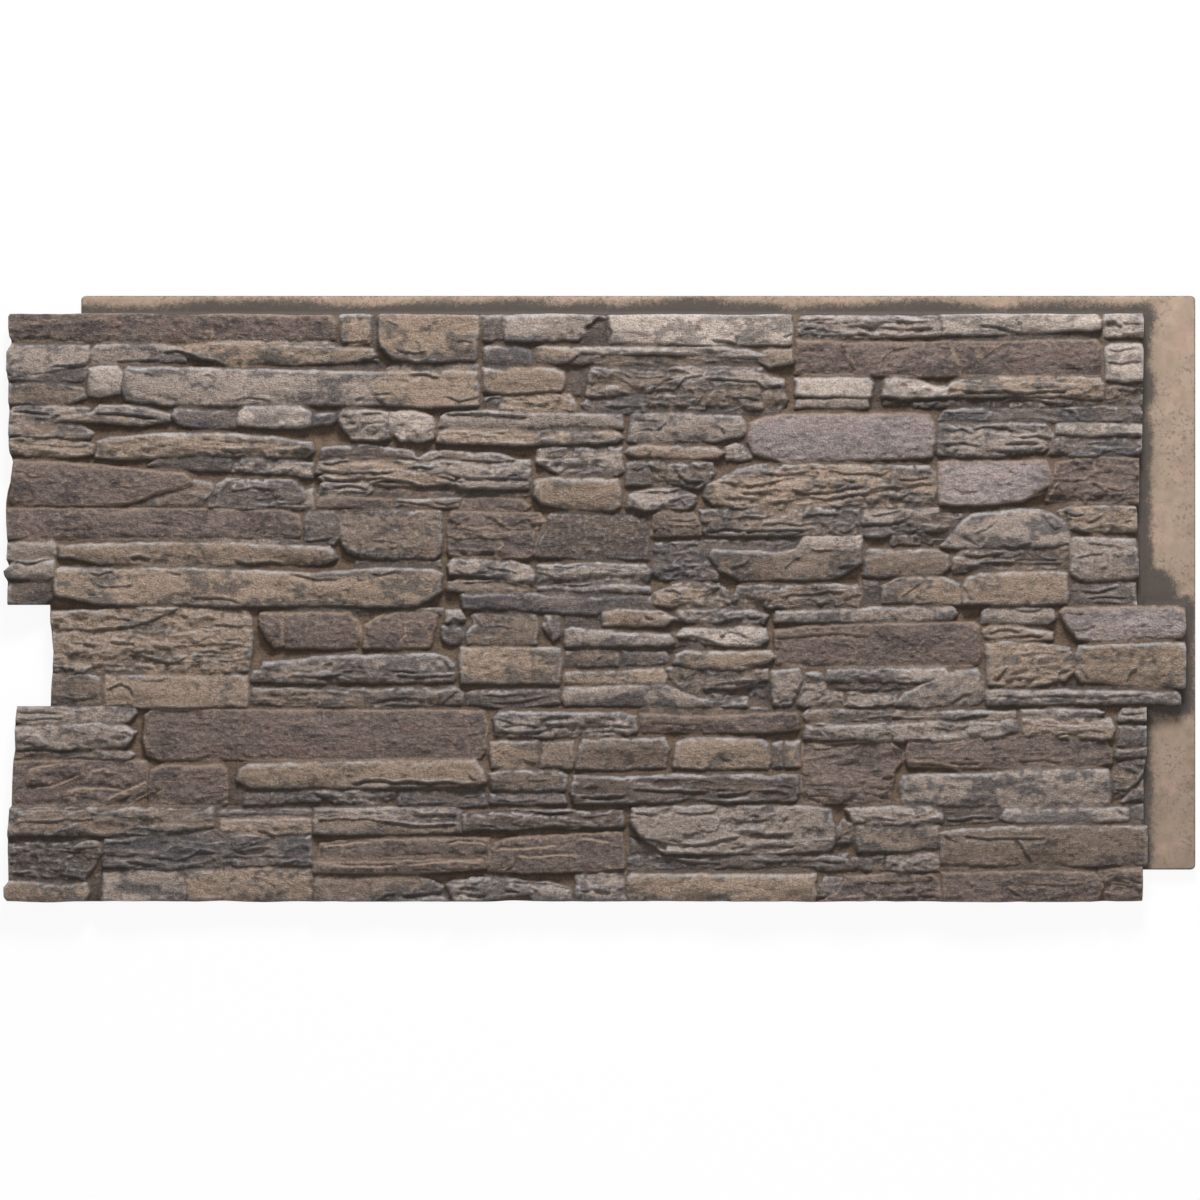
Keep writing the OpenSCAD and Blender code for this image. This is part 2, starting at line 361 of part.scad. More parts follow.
    [29, [[3, 555], [3, 572], [8, 583], [50, 583], [88, 581], [91, 574], [86, 562], [40, 553], [10, 550]]],
    [26, [[4, 547], [6, 553], [50, 560], [87, 560], [88, 545], [50, 544]]],
    [27, [[92, 563], [91, 576], [97, 581], [130, 584], [165, 583], [190, 578], [190, 565], [130, 562]]],
    [28, [[175, 573], [182, 582], [215, 585], [250, 584], [345, 580], [345, 565], [330, 563],
        [240, 560], [215, 565]]],
    [27, [[320, 565], [320, 581], [345, 580], [385, 577], [389, 571], [380, 566], [345, 563]]],
    [25, [[215, 583], [230, 586], [320, 587], [341, 587], [347, 581], [330, 580]]],
    [22, [[330, 559], [350, 563], [372, 568], [390, 567], [396, 559]]],
    [23, [[400, 557], [404, 562], [420, 565], [490, 565], [497, 560], [495, 556]]],
    [26, [[502, 559], [502, 579], [510, 582], [540, 581], [550, 576], [551, 560]]],
    [29, [[555, 563], [553, 571], [557, 579], [565, 580], [590, 579], [600, 572], [590, 566], [575, 562]]],
    [26, [[590, 562], [590, 571], [640, 573], [700, 574], [780, 571], [792, 561], [700, 559]]],
    [29, [[592, 573], [594, 578], [640, 579], [740, 580], [775, 577], [800, 570], [780, 567], [700, 573]]],
    [28, [[785, 573], [800, 578], [822, 577], [823, 564], [800, 560], [786, 565]]],
    [27, [[827, 552], [827, 587], [850, 587], [879, 585], [884, 565], [890, 551], [860, 550]]],
    [27, [[891, 551], [884, 565], [881, 584], [960, 585], [987, 587], [997, 560], [999, 550], [920, 549]]],
    [27, [[1001, 550], [990, 586], [1048, 586], [1110, 587], [1141, 587], [1147, 580], [1147, 550],
        [1060, 549]]],
    [31, [[1151, 546], [1150, 578], [1155, 583], [1187, 583], [1190, 575], [1188, 546], [1170, 544]]],
    // head course
    [28, [[4, 587], [4, 612], [8, 616], [180, 616], [342, 612], [348, 604], [346, 588], [260, 586],
        [100, 585]]],
    [28, [[353, 584], [352, 612], [357, 616], [379, 616], [384, 612], [382, 584], [365, 581]]],
    [22, [[384, 584], [384, 613], [391, 612], [391, 578]]],
    [31, [[394, 580], [392, 612], [396, 616], [490, 616], [495, 610], [496, 600], [492, 567],
        [450, 565], [408, 567]]],
    [27, [[500, 587], [499, 612], [521, 613], [524, 600], [524, 587]]],
    [28, [[524, 587], [522, 612], [560, 614], [618, 614], [614, 600], [600, 588], [560, 586]]],
    [24, [[602, 582], [603, 596], [612, 611], [622, 613], [631, 608], [632, 582]]],
    [31, [[633, 584], [632, 611], [637, 614], [760, 613], [821, 613], [823, 600], [821, 583], [740, 582]]],
    [28, [[830, 591], [828, 600], [832, 611], [860, 612], [975, 611], [979, 600], [977, 592], [900, 589]]],
    [30, [[980, 593], [979, 612], [1020, 615], [1140, 615], [1145, 608], [1143, 599], [1080, 595],
        [1030, 593]]],
    [22, [[980, 588], [982, 594], [1080, 596], [1144, 595], [1145, 588], [1060, 586]]],
    [29, [[1148, 591], [1147, 608], [1150, 614], [1186, 616], [1191, 608], [1190, 591], [1170, 590]]],
];

// Pattern coordinates on this panel's face
function place_x(x) = x <= pattern[0]
    ? x * face_w / pattern[0]
    : face_w + (x - pattern[0]) * key_l / pattern[2];
function place_y(y) = y * face_h / pattern[1];
function place(p) = [place_x(p[0]), place_y(p[1])];
function place_z(z) =
    bed_z + (z - pattern_z[0]) * (panel_t - bed_z) / (pattern_z[1] - pattern_z[0]);

function low_corner(pts) = [for (i = [0, 1]) min([for (p = pts) p[i]])];
function high_corner(pts) = [for (i = [0, 1]) max([for (p = pts) p[i]])];

// Outline drawn in towards its own middle by a margin on every side
function drawn_in(pts, margin) =
    let (low = low_corner(pts), high = high_corner(pts), mid = (low + high) / 2)
    let (k = [for (i = [0, 1]) max(0.35, 1 - 2 * margin / (high[i] - low[i]))])
    [for (p = pts) [for (i = [0, 1]) mid[i] + (p[i] - mid[i]) * k[i]]];

// One stone: upright up to the joint bed, then drawn in to a flat face
module stone(height, outline) {
    foot_z = flange_t - sink;
    pts = [for (p = outline) place(p)];
    translate([0, 0, foot_z])
        hull() {
            linear_extrude(bed_z - foot_z - sink) polygon(pts);
            linear_extrude(place_z(height) - foot_z) polygon(drawn_in(pts, stone_draft));
        }
}

module stones() {
    for (row = stone_rows) stone(row[0], row[1]);
}

module joint_bed() {
    translate([0, 0, flange_t - sink])
        linear_extrude(bed_z - flange_t + sink)
            polygon([for (p = bed_outline) place(p)]);
}

// Flat plate at the back, with the open flange along the side and the head
module flange_plate() {
    r = flange_corner;
    translate([lap_side + r, lap_foot + r, 0])
        linear_extrude(flange_t)
            offset(r = r, $fn = 32)
                square([panel_w - lap_side - 2 * r, panel_h - lap_foot - 2 * r]);
}

// Space under the loose edges, and the notch that goes right through
module lap_space() {
    ceiling = flange_t + lap_gap;
    translate([-1, -1, -1]) cube([lap_side + 1, panel_h + 2, ceiling + 1]);
    translate([-1, -1, -1]) cube([panel_w + 2, lap_foot + 1, ceiling + 1]);
    notch_foot = place_y(key_levels[0]);
    notch_head = place_y(key_levels[1]);
    translate([-1, notch_foot, -1]) cube([notch_l + 1, notch_head - notch_foot, panel_t + 2]);
}

module stone_panel() {
    color([0.62, 0.54, 0.46])
        translate([-panel_w / 2, -panel_h / 2, 0]) {
            flange_plate();
            difference() {
                union() {
                    joint_bed();
                    stones();
                }
                lap_space();
            }
        }
}

stone_panel();
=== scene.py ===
"""Looks of the moulded faux stone wall panel: stone relief, layered paint and the open flange."""

import logging
import math
from dataclasses import dataclass, field
from enum import Enum, IntEnum

import bpy
import numpy as np
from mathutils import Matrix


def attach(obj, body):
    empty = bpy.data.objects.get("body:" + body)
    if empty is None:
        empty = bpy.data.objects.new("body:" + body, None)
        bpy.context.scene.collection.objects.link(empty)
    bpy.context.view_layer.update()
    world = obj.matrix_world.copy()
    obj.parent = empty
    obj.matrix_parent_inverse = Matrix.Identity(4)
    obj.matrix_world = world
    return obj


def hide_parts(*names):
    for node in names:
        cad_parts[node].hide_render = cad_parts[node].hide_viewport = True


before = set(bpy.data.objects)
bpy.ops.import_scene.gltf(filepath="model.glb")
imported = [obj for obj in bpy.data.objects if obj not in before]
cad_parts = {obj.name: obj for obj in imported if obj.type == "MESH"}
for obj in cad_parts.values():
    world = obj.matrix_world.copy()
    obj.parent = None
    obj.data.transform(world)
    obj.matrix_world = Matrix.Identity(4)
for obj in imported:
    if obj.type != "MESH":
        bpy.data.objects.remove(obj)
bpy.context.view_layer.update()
LOG = logging.getLogger("stone_panel")
MM = 0.001

# The layout of the stones is in millimetres from the lower left corner of the stone face.
FACE_W = 1193.0
FACE_H = 616.0
PANEL_W = 1245.0
PANEL_H = 634.0

# Heights above the back: the panel's highest stone, the joint bed, and the highest stone as laid out.
PANEL_T = 32.0
BED_Z = 14.0
PATTERN_TOP = 31.0


class Texture(Enum):
    """How a stone's face is broken."""

    SMOOTH = "smooth"
    GRAIN = "grain"
    STRATA = "strata"
    CLEFT = "cleft"


class Tone(Enum):
    """Paint tones of the stones, as they look in plain light."""

    TAN = "tan"
    TAUPE = "taupe"
    ASH = "ash"
    PLUM = "plum"
    SLATE = "slate"
    UMBER = "umber"
    PALE = "pale"
    MAUVE = "mauve"


class Seed(IntEnum):
    """Which fixed lattice each use of the noise takes."""

    TILT = 3
    OWN = 8
    WOBBLE_X = 11
    WOBBLE_Y = 12
    BED = 13
    PATCHES = 41
    PATCH_EDGES = 42
    BLUSH = 43
    JOINTS = 44
    BRUSH = 45
    MOTTLE = 46
    PITS = 47
    PIT_FIELDS = 48
    SPECKS = 49
    FOOT_LINE = 51
    HEAD_LINE = 52
    FLANGE_CLOUDS = 61
    FLANGE_MOTTLE = 62
    FLANGE_BAND = 63
    FLANGE_HEAD = 64
    LEAN = 77
    EDGE = 900
    BULGE = 950


# Each tone: the main coat, and the second coat that is sponged over it.
COATS = {
    Tone.TAN: ((148, 129, 113), (84, 78, 75)),
    Tone.TAUPE: ((125, 109, 97), (76, 71, 69)),
    Tone.ASH: ((152, 138, 128), (82, 77, 78)),
    Tone.PLUM: ((115, 101, 95), (80, 72, 71)),
    Tone.SLATE: ((108, 97, 91), (77, 74, 76)),
    Tone.UMBER: ((98, 85, 77), (78, 71, 68)),
    Tone.PALE: ((180, 165, 154), (122, 114, 109)),
    Tone.MAUVE: ((150, 138, 136), (114, 106, 106)),
}
# The painted shade, the joints, the dry brush with the painted highlight, and the veins of the plum stones.
PAINTED_SHADE = (66, 57, 50)
JOINT = (112, 93, 78)
BRUSH_AND_HIGHLIGHT = (173, 168, 167)
VEIN = (160, 139, 121)
# The flange's base coat, and the same on its upright sides.
BASE_COAT = (152, 133, 116)
BARE_SIDES = (150, 131, 117)
# How a rusty blush changes the red, green and blue of a stone.
BLUSH = (1.16, 0.96, 0.95)
# Name of the colour layer that the pieces carry and the materials read.
PAINT_LAYER = "Paint"
# Distances from the plate's rim to the first lines of its grid.
RIM_STEPS = np.array([0, 0.4, 1, 2, 3.5, 5])
# What mixes the indices of a lattice point and its seed into one fixed word of 32 bits.
MIX_X, MIX_Y, MIX_SEED, MIX_LAST = 374761393, 668265263, 974634777, 1274126177
WORD, LOW_BITS = 0xFFFFFFFF, 0xFFFFFF

# The stones in courses from the foot up: face height, tone, texture, then x and y round the outline.
STONES = [
    # foot course, the loose edge that laps the panel below
    [28, "tan", "smooth", 0, 6, 0, 16, 6, 22, 20, 22, 60, 18, 86, 20, 88, 10, 84, 3, 60, 0, 8, 0],
    [17, "umber", "smooth", 86, 1, 90, 20, 103, 38, 105, 2],
    [23, "ash", "smooth", 103, 2, 104, 33, 125, 35, 182, 34, 188, 24, 191, 12, 190, 1],
    [24, "tan", "smooth", 193, 2, 192, 20, 188, 34, 240, 37, 320, 35, 322, 2],
    [22, "taupe", "smooth", 324, 1, 324, 29, 345, 29, 437, 28, 463, 16, 455, 12, 384, 1],
    [19, "ash", "cleft", 388, 0, 401, 9, 456, 12, 468, 9, 473, 0],
    [26, "ash", "cleft", 470, 3, 464, 18, 470, 23, 520, 27, 548, 20, 560, 12, 526, 8, 500, 3],
    [24, "ash", "smooth", 549, 9, 547, 19, 566, 21, 585, 16, 595, 12, 595, 3, 552, 2],
    [25, "ash", "cleft", 597, 2, 598, 28, 647, 32, 649, 2],
    [28, "tan", "smooth", 652, 1, 651, 26, 656, 30, 720, 29, 846, 29, 848, 8, 846, 1],
    [24, "slate", "cleft", 850, 4, 850, 17, 858, 27, 876, 26, 880, 15, 866, 7],
    [25, "plum", "cleft", 852, 1, 870, 12, 880, 27, 930, 31, 970, 28, 977, 22, 979, 2, 940, 0],
    [28, "plum", "grain", 981, 2, 980, 31, 1060, 33, 1138, 32, 1144, 25, 1147, 16, 1143, 4, 1135, 1, 1000,
        0],
    [22, "taupe", "smooth", 980, 30, 981, 39, 1060, 37, 1141, 39, 1141, 30],
    [27, "plum", "cleft", 1150, 3, 1149, 20, 1143, 34, 1188, 37, 1190, 12, 1188, 3, 1180, 1],
    # courses from 22 to 70
    [26, "umber", "cleft", 5, 24, 4, 50, 6, 62, 45, 62, 80, 67, 98, 62, 101, 52, 88, 30, 85, 22, 40, 21],
    [22, "slate", "strata", 5, 62, 5, 69, 35, 70, 60, 70, 60, 62],
    [27, "slate", "strata", 104, 38, 103, 50, 106, 66, 150, 70, 220, 76, 240, 71, 320, 69, 322, 40, 240, 38,
        160, 35],
    [28, "plum", "grain", 323, 32, 323, 43, 400, 42, 450, 45, 500, 44, 503, 36, 440, 31, 360, 31],
    [24, "plum", "grain", 328, 45, 330, 62, 372, 66, 506, 67, 508, 48, 460, 49, 405, 46],
    [25, "plum", "grain", 506, 33, 504, 42, 512, 62, 530, 68, 646, 74, 648, 60, 648, 36, 620, 33, 530, 32],
    [20, "slate", "strata", 651, 34, 651, 50, 690, 51, 702, 42, 702, 34],
    [23, "slate", "strata", 686, 40, 680, 50, 760, 51, 881, 51, 882, 34, 800, 33, 702, 34],
    [24, "taupe", "cleft", 883, 34, 886, 48, 900, 51, 920, 50, 921, 34],
    [27, "ash", "cleft", 921, 35, 922, 47, 926, 50, 976, 51, 976, 34, 940, 33],
    [28, "taupe", "smooth", 978, 40, 978, 72, 1000, 76, 1060, 79, 1110, 81, 1193, 79, 1194, 60, 1193, 40,
        1080, 38],
    [25, "taupe", "cleft", 870, 56, 868, 75, 876, 86, 886, 82, 888, 60],
    [27, "taupe", "smooth", 892, 54, 890, 62, 890, 80, 976, 80, 977, 56, 930, 53],
    [31, "ash", "cleft", 692, 52, 665, 70, 655, 85, 656, 99, 760, 101, 830, 101, 862, 97, 866, 80, 867, 62,
        862, 55, 790, 52],
    [20, "slate", "smooth", 655, 52, 655, 68, 672, 64, 690, 52],
    # courses from 70 to 100
    [29, "taupe", "strata", 5, 71, 6, 98, 70, 99, 160, 99, 218, 99, 220, 80, 180, 72, 110, 70],
    [22, "slate", "strata", 222, 90, 223, 98, 260, 99, 322, 99, 322, 91],
    [27, "tan", "cleft", 228, 72, 226, 88, 300, 90, 320, 89, 322, 72, 275, 71],
    [24, "ash", "strata", 325, 89, 325, 98, 400, 99, 470, 99, 478, 95, 475, 84, 425, 82],
    [27, "taupe", "smooth", 323, 72, 323, 87, 350, 89, 410, 85, 440, 82, 476, 83, 478, 74, 400, 71],
    [27, "umber", "strata", 480, 76, 479, 92, 530, 97, 600, 96, 646, 98, 647, 80, 560, 76],
    [28, "ash", "cleft", 886, 84, 880, 98, 930, 100, 978, 99, 980, 84, 930, 81],
    [22, "umber", "smooth", 981, 80, 981, 99, 1035, 100, 1045, 97, 1040, 84],
    [26, "ash", "smooth", 1040, 88, 1046, 98, 1110, 100, 1174, 98, 1173, 86, 1110, 83, 1048, 84],
    [20, "slate", "smooth", 1176, 82, 1176, 100, 1190, 104, 1191, 82],
    # courses from 100 to 150
    [24, "plum", "smooth", 8, 101, 10, 148, 60, 149, 149, 148, 151, 130, 149, 112, 130, 101],
    [25.5, "plum", "cleft", 24, 120, 26, 136, 35, 142, 55, 146, 85, 146, 82, 132, 60, 125, 48, 120],
    [26, "plum", "cleft", 84, 130, 90, 139, 110, 142, 132, 145, 132, 125, 120, 120, 90, 121],
    [25.5, "plum", "cleft", 62, 102, 62, 112, 78, 119, 120, 119, 130, 113, 110, 104, 90, 101],
    [27, "plum", "grain", 152, 101, 151, 120, 154, 138, 165, 143, 228, 143, 233, 138, 234, 104, 225, 100],
    [20, "umber", "smooth", 236, 103, 236, 140, 250, 140, 250, 103],
    [30, "tan", "smooth", 244, 128, 246, 138, 256, 144, 300, 146, 440, 149, 492, 149, 499, 140, 503, 127,
        490, 123, 355, 120, 320, 120, 256, 121],
    [24, "slate", "strata", 250, 103, 251, 117, 290, 118, 330, 116, 330, 107, 270, 102],
    [24, "ash", "cleft", 326, 115, 345, 104, 385, 102, 408, 110, 410, 119, 350, 117],
    [22, "slate", "smooth", 412, 101, 411, 119, 440, 120, 500, 118, 504, 112, 504, 102, 470, 100],
    [28, "taupe", "smooth", 510, 119, 508, 134, 520, 138, 582, 138, 588, 133, 586, 118, 550, 116],
    [26, "slate", "smooth", 508, 105, 508, 113, 540, 113, 572, 115, 585, 114, 588, 105, 550, 103],
    [31, "umber", "strata", 597, 104, 592, 118, 596, 132, 655, 131, 700, 133, 828, 132, 830, 115, 826, 107,
        700, 105, 640, 105],
    [25, "plum", "cleft", 835, 104, 832, 128, 835, 145, 833, 165, 905, 169, 925, 168, 940, 158, 940, 150,
        930, 138, 925, 104],
    [27.5, "plum", "cleft", 835, 106, 834, 119, 862, 121, 876, 116, 874, 105, 850, 103],
    [27, "ash", "smooth", 938, 103, 936, 125, 940, 132, 1020, 135, 1080, 140, 1152, 138, 1156, 120, 1155,
        103, 1040, 100],
    [24, "taupe", "cleft", 1158, 107, 1158, 125, 1163, 152, 1192, 152, 1192, 140, 1180, 120, 1165, 108],
    [24, "taupe", "cleft", 1168, 106, 1189, 128, 1191, 107],
    # courses from 138 to 205
    [27, "tan", "smooth", 509, 141, 509, 167, 520, 169, 557, 168, 557, 146, 540, 140],
    [26, "taupe", "smooth", 561, 142, 562, 168, 594, 169, 596, 150, 594, 141],
    [27, "taupe", "smooth", 598, 141, 600, 160, 605, 170, 690, 171, 694, 160, 690, 141, 640, 139],
    [28, "tan", "smooth", 699, 142, 702, 166, 715, 172, 790, 170, 798, 165, 800, 150, 798, 141, 750, 139],
    [26, "taupe", "smooth", 802, 142, 803, 166, 812, 167, 813, 142],
    [26, "tan", "smooth", 816, 142, 817, 167, 830, 168, 831, 142],
    [27, "plum", "grain", 944, 143, 942, 152, 944, 167, 1000, 168, 1030, 173, 1062, 175, 1150, 171, 1157,
        160, 1156, 146, 1130, 141, 1000, 141],
    [30, "ash", "cleft", 836, 172, 838, 185, 900, 186, 1000, 190, 1057, 190, 1060, 179, 1000, 168, 900, 170],
    [27, "taupe", "strata", 836, 188, 835, 195, 840, 201, 900, 201, 1000, 200, 1056, 199, 1057, 191, 930,
        188],
    [30, "tan", "cleft", 1066, 173, 1062, 182, 1064, 192, 1130, 193, 1155, 192, 1159, 180, 1155, 172],
    [26, "ash", "strata", 1062, 192, 1062, 201, 1100, 202, 1140, 201, 1148, 198, 1142, 193],
    [27, "taupe", "smooth", 1160, 152, 1160, 159, 1194, 161, 1194, 153],
    [25, "slate", "smooth", 1163, 164, 1165, 184, 1193, 184, 1193, 163],
    [26, "ash", "strata", 1163, 190, 1168, 203, 1194, 203, 1194, 190],
    [25, "taupe", "strata", 11, 151, 11, 160, 100, 160, 130, 159, 136, 154, 130, 150],
    [29, "ash", "cleft", 13, 161, 12, 183, 30, 184, 100, 187, 128, 183, 137, 178, 128, 164, 90, 161],
    [28, "ash", "strata", 10, 188, 11, 200, 16, 204, 100, 205, 138, 204, 139, 198, 130, 188, 60, 187],
    [27, "plum", "grain", 150, 155, 146, 170, 148, 195, 156, 202, 345, 201, 480, 201, 502, 199, 504, 180,
        503, 158, 495, 150, 330, 149, 165, 149],
    [29, "ash", "cleft", 514, 176, 511, 192, 518, 199, 600, 197, 640, 198, 660, 194, 661, 180, 650, 175,
        540, 173],
    [27, "plum", "grain", 667, 178, 664, 197, 730, 194, 790, 197, 828, 198, 830, 182, 800, 178],
    [22, "taupe", "strata", 664, 195, 665, 203, 770, 203, 829, 203, 829, 195],
    # courses from 204 to 265, where the edge keys in
    [27, "taupe", "smooth", 49, 206, 49, 232, 52, 238, 90, 238, 99, 234, 101, 208, 97, 205],
    [28, "tan", "smooth", 107, 206, 104, 222, 106, 237, 240, 238, 254, 236, 255, 215, 253, 205, 150, 204],
    [28, "taupe", "strata", 258, 206, 260, 223, 400, 223, 470, 225, 480, 218, 480, 207, 400, 203],
    [22, "slate", "strata", 258, 224, 258, 231, 320, 232, 345, 228, 345, 223],
    [24, "umber", "smooth", 483, 206, 482, 218, 500, 223, 580, 223, 581, 208, 540, 203],
    [27, "ash", "smooth", 586, 206, 584, 212, 586, 224, 640, 226, 690, 228, 715, 216, 740, 209, 740, 204],
    [28, "tan", "smooth", 478, 230, 476, 255, 478, 266, 520, 267, 580, 265, 583, 250, 580, 229],
    [26, "tan", "smooth", 586, 229, 586, 241, 660, 243, 688, 244, 693, 236, 690, 229],
    [24, "taupe", "smooth", 586, 246, 586, 263, 620, 265, 641, 264, 643, 247],
    [25, "slate", "smooth", 646, 247, 645, 264, 690, 263, 695, 255, 690, 247],
    [29, "ash", "smooth", 268, 242, 272, 250, 340, 257, 450, 260, 462, 256, 470, 248, 470, 239],
    [31, "taupe", "strata", 258, 232, 262, 241, 330, 243, 440, 240, 470, 239, 470, 231, 345, 229, 320, 230],
    [30, "tan", "smooth", 699, 250, 702, 258, 712, 262, 800, 262, 804, 256, 795, 250, 770, 243, 725, 244],
    [28, "taupe", "cleft", 692, 243, 697, 232, 708, 221, 720, 215, 760, 224, 798, 234, 797, 244, 760, 242,
        700, 248],
    [24, "ash", "cleft", 728, 208, 735, 220, 755, 219, 776, 214, 776, 205, 740, 205],
    [19, "slate", "smooth", 777, 205, 777, 228, 800, 230, 801, 205],
    [30, "ash", "grain", 804, 207, 803, 225, 802, 242, 830, 243, 833, 232, 823, 207],
    [26, "ash", "cleft", 828, 206, 838, 240, 853, 239, 860, 222, 875, 219, 879, 206],
    [25, "ash", "cleft", 881, 206, 882, 219, 930, 223, 932, 210, 915, 205],
    [25, "umber", "strata", 858, 222, 858, 230, 930, 231, 960, 230, 955, 222],
    [30, "ash", "cleft", 856, 231, 860, 242, 930, 244, 982, 244, 986, 238, 980, 231, 900, 231],
    [28, "ash", "smooth", 930, 207, 940, 218, 960, 227, 985, 240, 1015, 244, 1022, 235, 1024, 215, 1018,
        207, 960, 204],
    [28, "ash", "strata", 1026, 207, 1025, 221, 1050, 222, 1120, 221, 1225, 219, 1230, 214, 1228, 208, 1120,
        208],
    [20, "umber", "strata", 1026, 222, 1027, 229, 1230, 227, 1232, 219],
    [29, "tan", "cleft", 1027, 228, 1026, 270, 1040, 272, 1095, 268, 1112, 265, 1118, 257, 1118, 243, 1108,
        233, 1070, 226],
    [29, "tan", "smooth", 1119, 240, 1120, 255, 1123, 267, 1180, 270, 1232, 271, 1235, 265, 1233, 225, 1190,
        225, 1125, 231],
    # courses from 240 to 310
    [29, "tan", "cleft", 50, 285, 48, 294, 51, 303, 100, 305, 140, 308, 180, 307, 140, 289, 100, 285],
    [27, "tan", "cleft", 52, 241, 51, 262, 52, 283, 100, 286, 140, 290, 180, 307, 240, 307, 258, 304, 259,
        280, 256, 241, 150, 239],
    [26, "plum", "grain", 267, 290, 268, 302, 292, 303, 293, 269, 284, 266, 272, 280],
    [27, "plum", "grain", 294, 267, 294, 302, 320, 303, 360, 302, 369, 295, 373, 280, 368, 267, 340, 265],
    [27, "plum", "grain", 376, 267, 378, 290, 395, 299, 410, 303, 445, 304, 453, 300, 445, 267, 410, 265],
    [22, "taupe", "strata", 296, 300, 297, 307, 380, 308, 458, 307, 458, 301],
    [23, "slate", "smooth", 458, 275, 457, 288, 466, 291, 480, 291, 487, 283, 478, 270, 466, 269],
    [25, "ash", "smooth", 462, 293, 463, 305, 478, 305, 481, 296, 472, 291],
    [27, "taupe", "smooth", 484, 271, 484, 282, 492, 290, 488, 299, 495, 304, 540, 303, 556, 301, 559, 285,
        556, 271, 530, 268],
    [27, "ash", "smooth", 563, 288, 566, 301, 580, 301, 581, 279, 574, 274],
    [30, "ash", "smooth", 586, 268, 585, 284, 592, 287, 640, 282, 695, 279, 700, 272, 690, 269],
    [26, "slate", "smooth", 700, 267, 702, 280, 725, 278, 743, 273, 735, 265],
    [30, "pale", "cleft", 702, 279, 710, 286, 752, 285, 775, 288, 795, 285, 798, 276, 790, 268, 752, 268],
    [22, "slate", "smooth", 586, 288, 586, 302, 622, 302, 624, 289],
    [29, "tan", "smooth", 626, 289, 626, 304, 640, 306, 685, 304, 699, 297, 690, 290, 660, 288],
    [28, "ash", "cleft", 700, 296, 702, 305, 745, 306, 780, 305, 797, 300, 792, 291, 745, 289],
    [26, "plum", "grain", 806, 250, 805, 284, 840, 288, 930, 292, 1012, 292, 1018, 289, 1020, 265, 1018,
        249, 990, 246, 840, 245],
    [28, "ash", "smooth", 806, 294, 806, 304, 870, 306, 930, 308, 990, 309, 995, 303, 988, 295, 860, 293],
    [26, "ash", "smooth", 1021, 292, 1022, 302, 1027, 309, 1085, 310, 1095, 307, 1097, 298, 1090, 291],
    [26, "tan", "smooth", 1021, 276, 1022, 285, 1030, 289, 1055, 289, 1095, 281, 1094, 275, 1040, 273],
    [28, "mauve", "grain", 1103, 303, 1108, 308, 1225, 308, 1232, 306, 1235, 285, 1230, 277, 1140, 273,
        1121, 275, 1110, 288],
    [24, "tan", "smooth", 1180, 304, 1179, 313, 1226, 312, 1229, 304],
    # courses from 305 to 360
    [24, "umber", "smooth", 4, 313, 5, 335, 52, 335, 54, 322, 44, 314, 20, 310],
    [31, "tan", "smooth", 54, 322, 54, 346, 60, 349, 200, 349, 330, 343, 365, 347, 410, 349, 450, 347, 457,
        342, 455, 325, 430, 310, 250, 310, 100, 312],
    [28, "slate", "smooth", 480, 308, 478, 321, 500, 323, 560, 322, 676, 319, 677, 304, 610, 302],
    [26, "taupe", "smooth", 463, 327, 464, 335, 480, 338, 530, 338, 550, 328, 545, 322, 500, 321],
    [29, "ash", "cleft", 466, 344, 464, 352, 470, 359, 530, 356, 548, 351, 554, 344, 553, 331, 510, 340],
    [27, "ash", "strata", 556, 325, 557, 332, 640, 334, 675, 329, 675, 323, 620, 322],
    [29, "ash", "strata", 556, 334, 558, 351, 620, 354, 670, 352, 676, 345, 672, 334, 620, 332],
    [26, "tan", "cleft", 678, 312, 680, 323, 700, 331, 720, 335, 745, 333, 757, 325, 758, 313, 745, 307,
        700, 308],
    [27, "taupe", "cleft", 760, 308, 762, 320, 768, 331, 850, 332, 890, 331, 896, 320, 894, 309, 830, 308],
    [20, "slate", "smooth", 897, 312, 897, 337, 915, 337, 916, 312],
    [28, "tan", "smooth", 917, 313, 917, 330, 930, 336, 945, 339, 980, 340, 998, 332, 1002, 322, 1000, 312],
    [30, "tan", "smooth", 1003, 313, 1002, 330, 1006, 338, 1020, 343, 1100, 347, 1109, 344, 1111, 313, 1060,
        311],
    [24, "slate", "smooth", 1113, 313, 1112, 330, 1120, 335, 1180, 333, 1183, 312],
    [30, "ash", "smooth", 1, 341, 0, 346, 8, 351, 14, 357, 52, 358, 53, 340, 40, 336],
    [27, "ash", "smooth", 3, 358, 4, 375, 30, 377, 50, 377, 57, 372, 55, 362, 45, 357],
    [29, "tan", "smooth", 58, 362, 57, 372, 90, 374, 240, 376, 260, 373, 340, 371, 348, 360, 330, 352, 150,
        352, 100, 354],
    [24, "taupe", "smooth", 366, 350, 367, 357, 410, 358, 455, 357, 457, 350],
    [24, "slate", "cleft", 678, 338, 677, 370, 680, 375, 760, 379, 830, 381, 828, 368, 740, 360, 745, 345,
        745, 336],
    [30, "taupe", "smooth", 737, 362, 740, 367, 800, 366, 860, 371, 893, 372, 894, 355, 873, 342, 860, 337,
        770, 337, 747, 347],
    [28, "pale", "smooth", 828, 370, 836, 382, 870, 383, 896, 383, 896, 372],
    [26, "taupe", "smooth", 898, 341, 897, 365, 905, 369, 975, 368, 985, 363, 986, 350, 980, 343, 930, 340],
    [27, "taupe", "strata", 989, 344, 992, 361, 1000, 368, 1070, 370, 1111, 372, 1112, 350, 1060, 348],
    [29, "ash", "grain", 1114, 343, 1113, 380, 1140, 381, 1180, 379, 1184, 360, 1186, 342, 1180, 339, 1130,
        336],
    # courses from 360 to 412
    [26, "ash", "strata", 200, 375, 215, 381, 260, 382, 305, 380, 311, 373, 260, 372],
